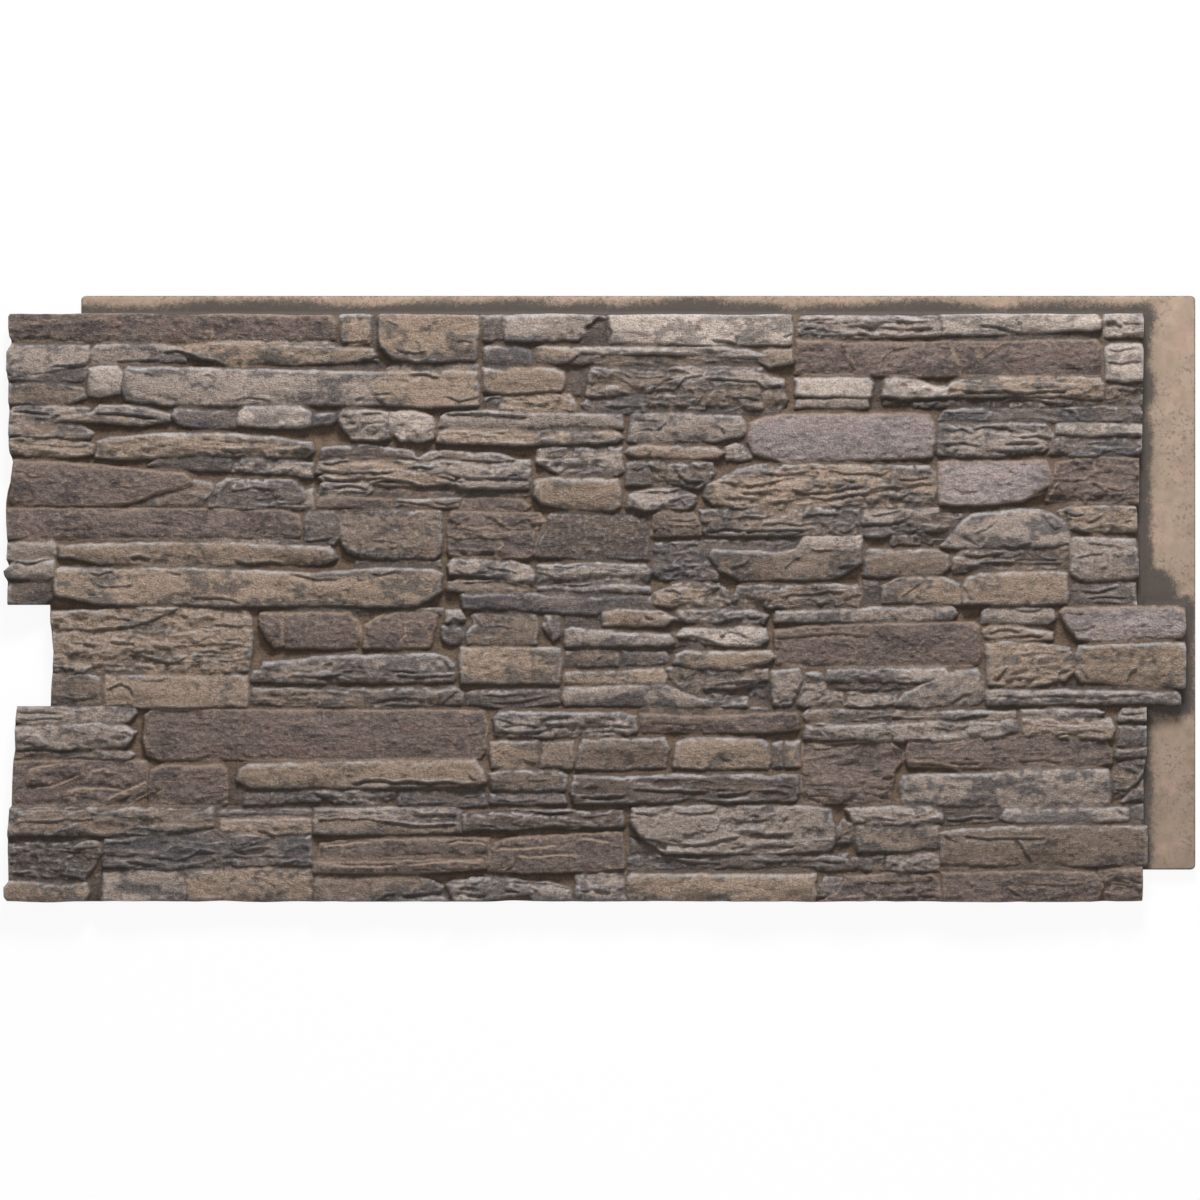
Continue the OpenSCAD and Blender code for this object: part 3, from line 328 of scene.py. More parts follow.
    [27, "plum", "grain", 4, 380, 3, 411, 120, 412, 200, 411, 290, 410, 308, 403, 311, 392, 308, 382, 195,
        379],
    [24, "slate", "smooth", 314, 377, 313, 400, 316, 409, 345, 410, 350, 400, 350, 380, 345, 374],
    [28, "taupe", "grain", 353, 377, 352, 400, 354, 409, 380, 411, 455, 409, 458, 400, 456, 366, 450, 360,
        375, 360, 360, 367],
    [27, "plum", "cleft", 465, 363, 463, 402, 468, 409, 560, 407, 566, 398, 553, 364, 548, 360, 475, 360],
    [25, "umber", "grain", 555, 362, 566, 400, 572, 407, 672, 406, 673, 358, 620, 356],
    [26, "plum", "grain", 676, 382, 678, 405, 684, 408, 720, 408, 727, 395, 728, 384],
    [29, "taupe", "cleft", 732, 384, 727, 409, 765, 410, 805, 413, 893, 412, 893, 395, 890, 383],
    [26, "ash", "smooth", 896, 383, 896, 392, 925, 393, 930, 386, 915, 382],
    [27, "ash", "smooth", 895, 395, 895, 412, 930, 413, 975, 412, 976, 408, 930, 396],
    [25, "umber", "cleft", 926, 374, 928, 407, 976, 408, 1000, 405, 1000, 390, 978, 374],
    [29, "ash", "smooth", 979, 373, 1000, 397, 1010, 405, 1060, 411, 1085, 409, 1105, 400, 1112, 388, 1113,
        375, 1060, 370, 1000, 371],
    [28, "tan", "cleft", 1101, 408, 1115, 413, 1150, 414, 1180, 413, 1184, 403, 1182, 388, 1140, 386, 1113,
        391],
    # courses from 405 to 480
    [28, "plum", "grain", 8, 420, 10, 461, 60, 460, 130, 454, 190, 447, 196, 438, 150, 422, 120, 415, 10,
        415],
    [25, "taupe", "smooth", 135, 413, 150, 424, 180, 433, 198, 441, 216, 439, 222, 432, 212, 418, 205, 412],
    [27, "slate", "cleft", 214, 412, 215, 420, 222, 435, 232, 442, 300, 441, 320, 428, 312, 414, 300, 410,
        230, 410],
    [24, "ash", "cleft", 303, 410, 312, 428, 323, 432, 323, 410],
    [26, "plum", "smooth", 327, 413, 330, 422, 345, 424, 380, 422, 405, 420, 405, 411],
    [27, "taupe", "smooth", 408, 413, 411, 421, 440, 421, 477, 422, 474, 413],
    [24, "plum", "smooth", 476, 411, 480, 422, 510, 423, 540, 421, 549, 414, 545, 410],
    [23, "slate", "smooth", 150, 457, 165, 467, 200, 467, 238, 463, 236, 451, 180, 452],
    [25, "ash", "cleft", 238, 451, 240, 459, 255, 465, 280, 465, 322, 457, 323, 444, 290, 448],
    [24, "umber", "strata", 330, 462, 332, 473, 345, 476, 380, 477, 425, 471, 432, 464, 400, 461],
    [27, "taupe", "strata", 430, 463, 445, 470, 460, 472, 490, 469, 520, 468, 532, 463, 500, 459, 450, 459],
    [27, "tan", "strata", 326, 449, 330, 459, 345, 463, 380, 462, 430, 459, 420, 450, 350, 447],
    [29, "ash", "cleft", 420, 451, 432, 459, 500, 461, 548, 462, 549, 450, 548, 442, 500, 441, 460, 448],
    [28, "tan", "strata", 330, 444, 345, 449, 400, 451, 450, 451, 470, 444, 470, 436, 440, 435, 340, 436],
    [27, "ash", "strata", 328, 426, 332, 437, 345, 441, 380, 439, 385, 430, 378, 424, 350, 423],
    [20, "taupe", "smooth", 388, 424, 386, 431, 395, 438, 430, 439, 470, 435, 548, 432, 549, 424, 440, 423],
    [28, "ash", "strata", 470, 438, 480, 445, 549, 443, 549, 433, 510, 431, 478, 433],
    [27, "ash", "cleft", 556, 460, 557, 473, 565, 476, 600, 476, 645, 475, 646, 450, 640, 446, 580, 447],
    [29, "tan", "smooth", 554, 425, 555, 441, 570, 443, 640, 441, 644, 430, 644, 415, 635, 410, 590, 410,
        562, 417],
    [24, "slate", "smooth", 650, 436, 650, 459, 660, 462, 674, 460, 676, 436],
    [27, "taupe", "cleft", 673, 440, 673, 460, 720, 459, 739, 458, 743, 450, 735, 439, 725, 433, 685, 434],
    [28, "ash", "cleft", 652, 414, 654, 426, 672, 431, 705, 432, 722, 424, 722, 418, 715, 412, 670, 411],
    [28, "tan", "smooth", 650, 469, 653, 475, 665, 477, 740, 475, 751, 470, 745, 465, 720, 463, 665, 465],
    [25, "ash", "cleft", 753, 462, 755, 475, 765, 479, 779, 476, 781, 464, 770, 460],
    [30, "tan", "cleft", 731, 424, 735, 436, 765, 451, 785, 456, 850, 457, 940, 456, 966, 454, 972, 448,
        973, 430, 970, 414, 900, 411, 760, 412, 740, 416],
    [22, "taupe", "smooth", 800, 455, 830, 462, 925, 468, 925, 458, 850, 456],
    [29, "mauve", "grain", 977, 416, 976, 459, 990, 461, 1088, 461, 1093, 450, 1090, 435, 1065, 420, 1020,
        415],
    [28, "plum", "cleft", 1088, 419, 1092, 440, 1100, 459, 1120, 464, 1160, 465, 1184, 463, 1186, 440, 1185,
        417, 1120, 417],
    # courses from 463 to 520
    [27, "tan", "strata", 6, 469, 6, 483, 20, 486, 80, 483, 93, 478, 93, 469, 60, 465, 25, 467],
    [27, "taupe", "strata", 5, 488, 6, 499, 30, 500, 60, 500, 82, 497, 93, 490, 90, 485, 30, 486],
    [28, "tan", "strata", 97, 465, 98, 481, 110, 485, 170, 489, 240, 489, 280, 486, 322, 479, 323, 470, 315,
        465, 260, 466, 120, 463],
    [25, "ash", "cleft", 5, 501, 8, 510, 20, 513, 50, 512, 60, 504, 48, 500],
    [27, "ash", "strata", 6, 511, 10, 518, 50, 519, 88, 516, 90, 511, 50, 510],
    [26, "tan", "strata", 52, 502, 60, 510, 95, 512, 140, 510, 168, 503, 145, 498, 100, 502],
    [28, "ash", "strata", 92, 512, 100, 518, 130, 518, 150, 516, 173, 509, 173, 503, 150, 506, 120, 510],
    [26, "slate", "smooth", 175, 508, 178, 515, 246, 515, 242, 497, 220, 494, 200, 495, 183, 500],
    [30, "pale", "smooth", 244, 499, 246, 511, 252, 517, 280, 518, 310, 517, 321, 510, 320, 499, 310, 495,
        260, 497],
    [24, "slate", "smooth", 322, 499, 322, 511, 348, 512, 348, 504, 338, 499],
    [29, "ash", "cleft", 352, 498, 350, 508, 355, 514, 380, 514, 402, 512, 401, 485, 385, 483, 364, 484],
    [29, "pale", "cleft", 403, 493, 403, 512, 430, 513, 446, 508, 450, 500, 448, 486, 440, 482, 415, 482],
    [28, "ash", "smooth", 454, 497, 458, 507, 470, 512, 500, 513, 580, 510, 645, 509, 646, 496, 550, 494,
        470, 493],
    [29, "tan", "strata", 452, 482, 455, 491, 462, 494, 550, 494, 610, 494, 640, 491, 646, 485, 640, 481,
        550, 479, 470, 479],
    [28, "ash", "smooth", 652, 482, 654, 502, 657, 511, 690, 511, 770, 507, 774, 500, 772, 488, 740, 481,
        670, 481],
    [30, "mauve", "grain", 777, 482, 779, 500, 795, 506, 820, 509, 930, 510, 966, 509, 971, 500, 972, 480,
        968, 465, 815, 460, 783, 469],
    [29, "ash", "cleft", 975, 468, 974, 491, 978, 499, 1050, 500, 1086, 499, 1096, 490, 1095, 478, 1085,
        471, 1020, 465],
    [26, "slate", "cleft", 1092, 469, 1096, 481, 1105, 487, 1188, 487, 1190, 475, 1180, 466, 1120, 466],
    [28, "pale", "smooth", 1099, 490, 1100, 500, 1175, 500, 1189, 498, 1188, 488, 1115, 488],
    # courses from 500 to 560
    [25, "taupe", "smooth", 5, 522, 5, 543, 30, 544, 60, 543, 86, 538, 86, 528, 60, 518, 30, 520],
    [30, "pale", "smooth", 89, 530, 89, 557, 100, 559, 118, 559, 123, 552, 122, 532, 100, 528],
    [30, "ash", "smooth", 128, 524, 123, 540, 124, 553, 130, 559, 228, 557, 400, 553, 410, 520, 350, 519,
        180, 519],
    [30, "tan", "smooth", 385, 530, 390, 550, 405, 556, 450, 555, 494, 555, 496, 540, 495, 519, 440, 517,
        400, 520],
    [25, "slate", "smooth", 501, 518, 501, 528, 518, 529, 521, 522, 515, 516, 506, 516],
    [27, "tan", "cleft", 517, 514, 520, 528, 545, 530, 590, 531, 597, 520, 597, 511, 540, 510],
    [29, "tan", "smooth", 501, 534, 501, 557, 560, 558, 575, 557, 584, 552, 586, 545, 583, 535, 520, 532],
    [20, "umber", "smooth", 587, 530, 587, 557, 606, 556, 608, 540, 604, 528],
    [26, "slate", "cleft", 603, 519, 612, 529, 640, 530, 667, 531, 671, 524, 668, 513, 640, 510, 613, 510],
    [28, "taupe", "cleft", 609, 530, 610, 546, 613, 557, 650, 559, 690, 559, 698, 550, 672, 532, 640, 529],
    [29, "taupe", "cleft", 671, 518, 672, 534, 705, 547, 740, 548, 812, 539, 817, 525, 814, 515, 740, 514,
        690, 513],
    [30, "ash", "cleft", 696, 548, 712, 554, 745, 557, 780, 556, 814, 545, 813, 537, 795, 539, 730, 544],
    [28, "ash", "strata", 690, 554, 700, 559, 740, 559, 791, 558, 790, 552, 740, 552],
    [23, "slate", "strata", 700, 510, 702, 516, 770, 519, 812, 518, 812, 511, 760, 509],
    [30, "pale", "smooth", 827, 530, 827, 547, 880, 547, 903, 547, 906, 542, 904, 528, 850, 529],
    [27, "ash", "smooth", 826, 517, 828, 525, 870, 526, 902, 528, 903, 517, 880, 515],
    [20, "umber", "smooth", 906, 516, 907, 545, 916, 545, 917, 516],
    [29, "pale", "cleft", 918, 529, 920, 546, 935, 548, 950, 547, 970, 540, 986, 538, 985, 529, 940, 527],
    [24, "umber", "cleft", 918, 519, 920, 528, 1000, 531, 1130, 524, 1148, 520, 1100, 516, 960, 517],
    [29, "tan", "strata", 985, 529, 986, 539, 1000, 548, 1030, 550, 1100, 549, 1143, 548, 1149, 540, 1147,
        526, 1060, 529],
    [24, "taupe", "cleft", 1150, 520, 1152, 541, 1188, 542, 1190, 525, 1188, 519],
    [26, "slate", "strata", 974, 503, 985, 513, 1000, 516, 1100, 517, 1185, 519, 1189, 510, 1186, 502, 1050,
        501],
    # courses from 545 to 590
    [29, "ash", "smooth", 3, 555, 3, 572, 8, 583, 50, 583, 88, 581, 91, 574, 86, 562, 40, 553, 10, 550],
    [26, "ash", "smooth", 4, 547, 6, 553, 50, 560, 87, 560, 88, 545, 50, 544],
    [27, "ash", "smooth", 92, 563, 91, 576, 97, 581, 130, 584, 165, 583, 190, 578, 190, 565, 130, 562],
    [28, "tan", "smooth", 175, 573, 182, 582, 215, 585, 250, 584, 345, 580, 345, 565, 330, 563, 240, 560,
        215, 565],
    [27, "tan", "smooth", 320, 565, 320, 581, 345, 580, 385, 577, 389, 571, 380, 566, 345, 563],
    [25, "pale", "strata", 215, 583, 230, 586, 320, 587, 341, 587, 347, 581, 330, 580],
    [22, "slate", "smooth", 330, 559, 350, 563, 372, 568, 390, 567, 396, 559],
    [23, "ash", "smooth", 400, 557, 404, 562, 420, 565, 490, 565, 497, 560, 495, 556],
    [26, "slate", "smooth", 502, 559, 502, 579, 510, 582, 540, 581, 550, 576, 551, 560],
    [29, "tan", "smooth", 555, 563, 553, 571, 557, 579, 565, 580, 590, 579, 600, 572, 590, 566, 575, 562],
    [26, "taupe", "strata", 590, 562, 590, 571, 640, 573, 700, 574, 780, 571, 792, 561, 700, 559],
    [29, "pale", "strata", 592, 573, 594, 578, 640, 579, 740, 580, 775, 577, 800, 570, 780, 567, 700, 573],
    [28, "tan", "smooth", 785, 573, 800, 578, 822, 577, 823, 564, 800, 560, 786, 565],
    [27, "plum", "grain", 827, 552, 827, 587, 850, 587, 879, 585, 884, 565, 890, 551, 860, 550],
    [27, "plum", "grain", 891, 551, 884, 565, 881, 584, 960, 585, 987, 587, 997, 560, 999, 550, 920, 549],
    [27, "plum", "grain", 1001, 550, 990, 586, 1048, 586, 1110, 587, 1141, 587, 1147, 580, 1147, 550, 1060,
        549],
    [31, "pale", "smooth", 1151, 546, 1150, 578, 1155, 583, 1187, 583, 1190, 575, 1188, 546, 1170, 544],
    # head course
    [28, "plum", "grain", 4, 587, 4, 612, 8, 616, 180, 616, 342, 612, 348, 604, 346, 588, 260, 586, 100,
        585],
    [28, "tan", "smooth", 353, 584, 352, 612, 357, 616, 379, 616, 384, 612, 382, 584, 365, 581],
    [22, "slate", "smooth", 384, 584, 384, 613, 391, 612, 391, 578],
    [31, "tan", "smooth", 394, 580, 392, 612, 396, 616, 490, 616, 495, 610, 496, 600, 492, 567, 450, 565,
        408, 567],
    [27, "slate", "grain", 500, 587, 499, 612, 521, 613, 524, 600, 524, 587],
    [28, "ash", "smooth", 524, 587, 522, 612, 560, 614, 618, 614, 614, 600, 600, 588, 560, 586],
    [24, "umber", "smooth", 602, 582, 603, 596, 612, 611, 622, 613, 631, 608, 632, 582],
    [31, "pale", "smooth", 633, 584, 632, 611, 637, 614, 760, 613, 821, 613, 823, 600, 821, 583, 740, 582],
    [28, "ash", "cleft", 830, 591, 828, 600, 832, 611, 860, 612, 975, 611, 979, 600, 977, 592, 900, 589],
    [30, "pale", "smooth", 980, 593, 979, 612, 1020, 615, 1140, 615, 1145, 608, 1143, 599, 1080, 595, 1030,
        593],
    [22, "slate", "strata", 980, 588, 982, 594, 1080, 596, 1144, 595, 1145, 588, 1060, 586],
    [29, "pale", "cleft", 1148, 591, 1147, 608, 1150, 614, 1186, 616, 1191, 608, 1190, 591, 1170, 590],
]

# Ledges and cracks in the faces: depth, width, then x and y along the line.
# The face drops on the line's right side.
LEDGES = [
    # head courses
    (2, 5, 48, 558, 55, 561, 72, 561, 90, 563),
    (2.5, 6, 90, 566, 105, 563, 130, 566, 165, 566),
    (3, 8, 166, 575, 182, 576, 195, 572, 208, 567, 222, 566, 236, 558),
    (1.5, 6, 238, 524, 255, 527, 270, 526, 284, 521),
    (1.5, 7, 205, 549, 214, 551, 224, 547),
    (1.2, 5, 136, 553, 148, 552, 160, 549),
    (3, 5, 92, 511, 115, 511, 138, 509, 162, 506),
    (2, 4, 8, 512, 25, 513, 52, 509),
    (2, 4, 148, 502, 165, 501, 176, 499),
    (1.2, 6, 18, 478, 45, 478, 60, 475, 90, 477),
    (1, 5, 203, 485, 225, 482, 252, 480),
    (1.2, 7, 215, 585, 219, 592, 218, 601),
    (1.2, 8, 184, 603, 190, 594, 199, 589),
    (1, 5, 138, 597, 152, 592),
    (1, 5, 18, 610, 45, 606, 62, 608),
    (2.2, 8, 368, 567, 378, 568, 397, 563),
    (2.6, 7, 421, 551, 440, 551, 457, 548),
    (1.5, 6, 408, 546, 426, 545),
    (1.5, 5, 383, 531, 407, 532),
    (1.5, 5, 363, 526, 380, 528),
    (2.2, 9, 379, 583, 385, 600, 384, 613),
    (2.2, 7, 351, 584, 370, 585, 385, 586),
    (1.5, 8, 398, 608, 410, 604, 416, 598),
    (1.8, 8, 410, 577, 428, 574, 442, 576),
    (1.5, 8, 468, 585, 480, 587, 494, 584),
    (1.5, 7, 429, 588, 436, 580, 434, 570),
    (1.6, 12, 524, 613, 524, 598, 517, 589),
    (1.5, 9, 586, 588, 588, 613),
    (2.6, 7, 458, 509, 490, 510, 520, 509, 550, 507),
    (1.5, 5, 503, 491, 527, 490),
    (2, 6, 556, 483, 560, 490, 577, 493),
    (2.2, 8, 370, 510, 385, 511, 400, 511),
    (2, 6, 402, 488, 397, 499, 381, 499, 366, 487),
    (2, 6, 402, 492, 402, 513),
    (2, 5, 438, 490, 447, 494, 453, 485),
    (2, 9, 501, 523, 510, 528, 521, 527, 526, 518),
    (1.5, 5, 573, 516, 590, 512, 599, 514),
    (1.8, 8, 458, 530, 475, 524, 490, 526, 501, 529),
    (3.5, 14, 603, 600, 614, 604, 623, 613),
    (3.5, 14, 631, 613, 632, 600, 636, 596, 631, 583),
    (1.8, 5, 810, 591, 818, 592, 824, 598),
    (2.5, 8, 736, 588, 746, 587, 768, 583),
    (2, 5, 608, 528, 625, 529, 642, 526),
    (2.8, 7, 671, 532, 690, 536, 700, 535, 705, 541, 711, 548, 730, 551),
    (2.6, 6, 730, 548, 760, 546, 786, 544, 795, 538, 814, 540),
    (2, 6, 688, 556, 705, 556, 718, 552),
    (1.6, 9, 744, 539, 736, 528, 731, 517),
    (1.5, 7, 714, 515, 725, 521, 731, 531),
    (2, 8, 698, 519, 714, 518),
    (2, 6, 758, 527, 775, 528, 792, 524),
    (1.5, 5, 648, 548, 670, 548, 692, 549),
    (1.6, 6, 678, 491, 688, 497, 693, 504),
    (1.9, 6, 744, 500, 750, 494, 754, 486),
    (1.5, 5, 658, 503, 675, 503, 687, 502),
    (1.5, 4, 660, 493, 672, 494, 684, 492),
    (1.5, 6, 824, 608, 845, 608, 872, 610),
    (1.5, 5, 830, 598, 845, 600, 860, 597),
    (2.5, 6, 874, 601, 890, 602, 920, 600, 945, 598, 972, 601),
    (1.8, 4, 826, 593, 850, 592, 880, 592, 902, 594),
    (1.1, 8, 878, 584, 880, 570, 886, 560, 893, 552),
    (1.5, 5, 913, 607, 925, 605, 938, 607, 950, 605, 967, 608),
    (1.3, 6, 912, 554, 917, 568, 928, 577, 940, 579, 948, 578, 952, 573),
    (1, 8, 988, 585, 993, 570, 996, 560, 1004, 552),
    (1.2, 7, 1013, 581, 1018, 566, 1030, 575, 1044, 585),
    (2.6, 5, 1018, 602, 1035, 602, 1050, 598, 1062, 594),
    (2.5, 8, 1147, 606, 1158, 607, 1167, 600),
    (1.5, 7, 1149, 578, 1165, 576, 1187, 580),
    (2, 8, 1149, 566, 1165, 563, 1188, 565),
    (2.6, 7, 998, 534, 1020, 534, 1045, 535, 1062, 531),
    (2.5, 7, 1053, 533, 1075, 532, 1090, 535, 1112, 533),
    (3, 7, 1038, 521, 1055, 526, 1070, 525, 1102, 521),
    (2, 6, 938, 524, 960, 527, 990, 528, 1007, 532),
    (1.5, 6, 1158, 536, 1175, 534, 1188, 534),
    (3, 6, 1010, 494, 1030, 497, 1045, 496, 1064, 490),
    (3.2, 6, 1043, 479, 1060, 481, 1082, 480),
    (2.4, 6, 978, 478, 1000, 480, 1022, 476),
    (2.2, 6, 983, 491, 1000, 495, 1014, 488),
    (2, 5, 1058, 486, 1080, 488, 1096, 483),
    (2, 6, 1128, 478, 1145, 481, 1162, 477),
    (2.5, 6, 1158, 488, 1175, 490, 1188, 488),
    (1.6, 7, 978, 511, 1005, 512, 1032, 510),
    # the two courses above the notch
    (1.6, 5, 8, 451, 20, 450, 28, 445, 40, 443),
    (1, 5, 118, 436, 138, 434),
    (1, 6, 78, 441, 86, 436, 84, 430),
    (2.6, 10, 110, 417, 135, 418, 150, 423, 160, 428, 172, 431, 190, 432, 199, 438),
    (1.8, 9, 207, 417, 212, 422, 219, 430, 220, 440),
    (1.6, 7, 222, 412, 226, 428, 236, 440, 250, 442),
    (1.5, 6, 240, 430, 262, 434, 285, 430),
    (1.5, 6, 262, 421, 285, 422, 289, 412),
    (1.5, 5, 236, 455, 245, 452, 258, 452),
    (1.2, 5, 150, 395, 160, 397, 175, 396),
    (1.2, 8, 176, 398, 182, 390, 183, 380),
    (1, 5, 50, 391, 62, 393),
    (1, 5, 76, 391, 88, 391),
    (1.2, 5, 190, 408, 196, 406, 202, 401),
    (2.5, 6, 8, 352, 14, 356, 26, 354, 44, 357, 56, 361, 68, 359),
    (2.5, 9, 58, 361, 72, 360, 84, 355),
    (3, 9, 130, 360, 142, 363, 156, 358),
    (2.4, 8, 240, 356, 262, 354, 282, 356, 300, 352),
    (1.8, 10, 88, 346, 100, 343, 113, 346, 118, 340),
    (1.5, 6, 94, 334, 105, 329, 122, 330, 138, 331),
    (1.6, 6, 168, 346, 180, 343, 190, 342),
    (2, 6, 196, 318, 215, 318, 238, 317, 250, 311),
    (1.2, 5, 232, 341, 240, 337),
    (1.5, 6, 288, 322, 292, 316, 296, 312),
    (1.6, 6, 84, 322, 95, 321, 100, 314),
    (1.5, 5, 320, 330, 324, 334),
    (1.5, 5, 350, 325, 364, 327),
    (1.5, 5, 326, 319, 337, 322),
    (2, 7, 296, 345, 315, 341, 330, 337, 352, 338),
    (1.8, 8, 380, 345, 395, 342, 414, 347),
    (1.5, 6, 366, 337, 380, 338),
    (2.2, 10, 346, 408, 350, 395, 350, 384, 343, 376),
    (2.2, 7, 312, 377, 330, 379, 346, 382),
    (1.5, 8, 356, 372, 366, 366, 376, 361),
    (1.2, 6, 380, 378, 400, 377, 416, 374),
    (1.2, 7, 430, 395, 437, 388, 440, 380),
    (3, 7, 330, 459, 345, 459, 362, 463, 385, 463, 400, 461, 418, 459),
    (3, 6, 420, 452, 432, 455, 450, 453),
    (2.2, 6, 330, 451, 346, 449, 362, 448, 384, 449, 410, 450),
    (3, 6, 330, 446, 345, 441, 370, 443, 395, 443, 410, 440),
    (3, 8, 384, 438, 400, 441, 425, 439, 440, 434, 462, 437, 472, 434),
    (2.4, 5, 340, 434, 360, 436, 380, 431),
    (2.4, 5, 452, 447, 466, 442, 482, 438),
    (2.2, 5, 480, 444, 500, 442, 520, 443, 545, 442),
    (2, 5, 424, 459, 440, 460, 456, 465, 470, 463),
    (2.5, 6, 476, 462, 500, 461, 520, 460, 538, 463),
    (2.5, 6, 462, 434, 476, 431, 500, 433, 520, 431, 540, 433),
    (2, 5, 345, 428, 360, 429, 380, 427),
    (1.6, 6, 406, 419, 420, 418, 440, 416, 452, 413),
    (1.6, 5, 448, 419, 462, 416, 476, 419),
    (1.2, 6, 468, 392, 485, 390, 505, 391, 522, 386),
    (1.3, 7, 505, 404, 520, 396, 532, 387, 540, 386),
    (1.3, 7, 475, 386, 490, 385, 508, 380, 524, 381),
    (1.3, 8, 516, 360, 515, 368, 522, 374, 518, 381),
    (1.3, 6, 540, 401, 548, 396, 560, 397, 568, 398),
    (1.3, 7, 552, 376, 554, 386, 560, 396),
    (1.6, 9, 568, 398, 562, 382, 556, 368, 553, 360),
    (2.2, 6, 470, 349, 480, 343, 492, 341, 503, 341),
    (2.4, 6, 476, 333, 500, 335, 515, 336, 532, 333, 552, 328),
    (1.6, 6, 500, 353, 512, 348, 530, 346, 540, 342),
    (2, 6, 556, 345, 568, 343, 575, 338, 600, 338),
    (2, 5, 572, 351, 588, 350, 605, 352),
    (2.2, 6, 580, 333, 600, 331, 620, 334, 640, 336, 660, 333),
    (2, 6, 620, 343, 640, 341, 662, 342),
    (2, 9, 628, 359, 640, 359, 672, 357),
    (1.4, 7, 676, 380, 676, 390, 684, 392, 700, 388),
    (1.6, 5, 680, 401, 700, 399, 725, 400),
    (1.6, 6, 700, 392, 712, 395, 725, 390),
    (1.8, 7, 652, 454, 662, 452, 671, 455),
    (2, 8, 700, 456, 706, 446, 716, 440, 733, 441),
    (2, 6, 650, 437, 668, 436, 690, 437, 715, 436),
    (2, 9, 652, 428, 670, 429, 692, 428, 712, 432),
    (1.8, 7, 692, 420, 706, 421, 716, 413),
    (2.4, 6, 744, 439, 760, 438, 775, 433),
    (2.6, 7, 772, 435, 795, 437, 815, 442, 835, 447, 850, 444),
    (2.8, 6, 820, 432, 835, 428, 860, 429, 880, 432, 900, 436),
    (2.6, 6, 768, 427, 790, 429, 812, 425),
    (2.4, 6, 800, 418, 820, 420, 838, 424, 858, 421, 880, 425, 900, 428, 925, 432),
    (2.4, 6, 790, 449, 815, 446, 840, 450),
    (2.2, 6, 858, 452, 880, 448, 900, 448, 915, 446),
    (2.2, 6, 750, 422, 770, 423, 790, 421),
    (2.5, 6, 850, 415, 870, 413, 896, 415),
    (2, 7, 762, 400, 775, 403, 795, 402, 806, 406),
    (2, 6, 790, 395, 812, 396, 830, 394, 850, 398),
    (2, 7, 834, 402, 850, 405, 870, 405, 885, 402),
    (2, 7, 732, 388, 755, 390, 780, 388, 810, 389, 840, 388),
    (1.8, 9, 756, 350, 770, 352, 778, 358),
    (1.6, 9, 812, 340, 816, 350, 826, 358, 836, 362),
    (2, 9, 868, 349, 876, 352, 890, 352),
    (2, 8, 838, 369, 850, 367, 868, 369),
    (1.6, 6, 686, 326, 700, 326, 712, 320),
    (1.6, 8, 728, 312, 736, 322, 748, 330),
    (2, 6, 808, 318, 822, 322, 842, 321, 862, 326, 880, 324),
    (2.4, 6, 902, 448, 918, 446, 925, 452),
    (2.4, 6, 900, 430, 918, 434, 935, 433, 955, 437, 972, 436),
    (2, 5, 922, 424, 935, 422, 948, 428, 962, 424),
    (2, 6, 930, 442, 950, 441, 968, 444),
    (1.6, 7, 1048, 459, 1049, 450, 1058, 446),
    (1.2, 6, 990, 434, 1000, 428, 1020, 430),
    (1.8, 8, 1062, 420, 1075, 424, 1090, 428),
    (1.2, 7, 1098, 462, 1097, 450, 1101, 440, 1094, 430, 1090, 420),
    (1.3, 7, 1128, 448, 1145, 444, 1163, 440),
    (1.3, 7, 1100, 431, 1108, 426, 1112, 420),
    (1.2, 7, 1137, 462, 1138, 448),
    (1.2, 6, 1150, 434, 1165, 430, 1175, 432),
    (2.5, 6, 1108, 407, 1118, 405, 1130, 406),
    (2, 7, 1128, 396, 1138, 399, 1146, 406),
    (2, 6, 1165, 397, 1180, 399),
    (1.8, 7, 1082, 408, 1090, 398, 1097, 391, 1106, 392),
    (1.2, 6, 1010, 385, 1025, 390, 1035, 397),
    (1.2, 7, 1000, 386, 1012, 377, 1020, 372),
    (2, 6, 1040, 374, 1055, 371, 1075, 376),
    (2, 6, 902, 404, 925, 406, 940, 411),
    (2, 7, 925, 395, 938, 399, 948, 404),
    (2.2, 6, 934, 391, 945, 386, 955, 391),
    (2.4, 7, 1000, 362, 1020, 362, 1045, 366),
    (2, 9, 1015, 354, 1040, 356, 1070, 354, 1108, 355),
    (2, 6, 1156, 366, 1163, 362, 1170, 364),
    (1.6, 6, 1118, 360, 1132, 363, 1150, 366),
    (1.4, 6, 1130, 375, 1150, 374, 1170, 370),
    (1.8, 7, 918, 330, 930, 336, 945, 338),
    (1.4, 8, 935, 318, 946, 326, 958, 334),
    (1.8, 9, 996, 336, 1004, 328, 1008, 320, 1015, 314),
    (2.2, 6, 1120, 326, 1142, 325, 1165, 330),
    (2, 5, 1130, 318, 1150, 320, 1175, 318),
    # the courses of the notch and the key, and the one under them
    (3, 8, 49, 283, 72, 286, 88, 284, 105, 287, 128, 288, 144, 290),
    (1.5, 5, 111, 296, 122, 297, 134, 295),
    (2, 6, 68, 270, 85, 271, 100, 266),
    (2.6, 5, 128, 259, 145, 258, 155, 254, 172, 250, 184, 253, 197, 260),
    (2.2, 5, 203, 262, 215, 263, 228, 260, 242, 262),
    (2, 5, 198, 257, 215, 258, 242, 256),
    (1.8, 4, 220, 252, 236, 252, 252, 254),
    (2.2, 4, 134, 246, 148, 246, 160, 244),
    (1.6, 5, 96, 249, 115, 248, 132, 246),
    (2, 6, 183, 272, 200, 271, 214, 268),
    (1.8, 5, 108, 273, 125, 272, 142, 270),
    (1.8, 6, 213, 289, 235, 290, 252, 288),
    (1.6, 6, 198, 286, 210, 284, 218, 279),
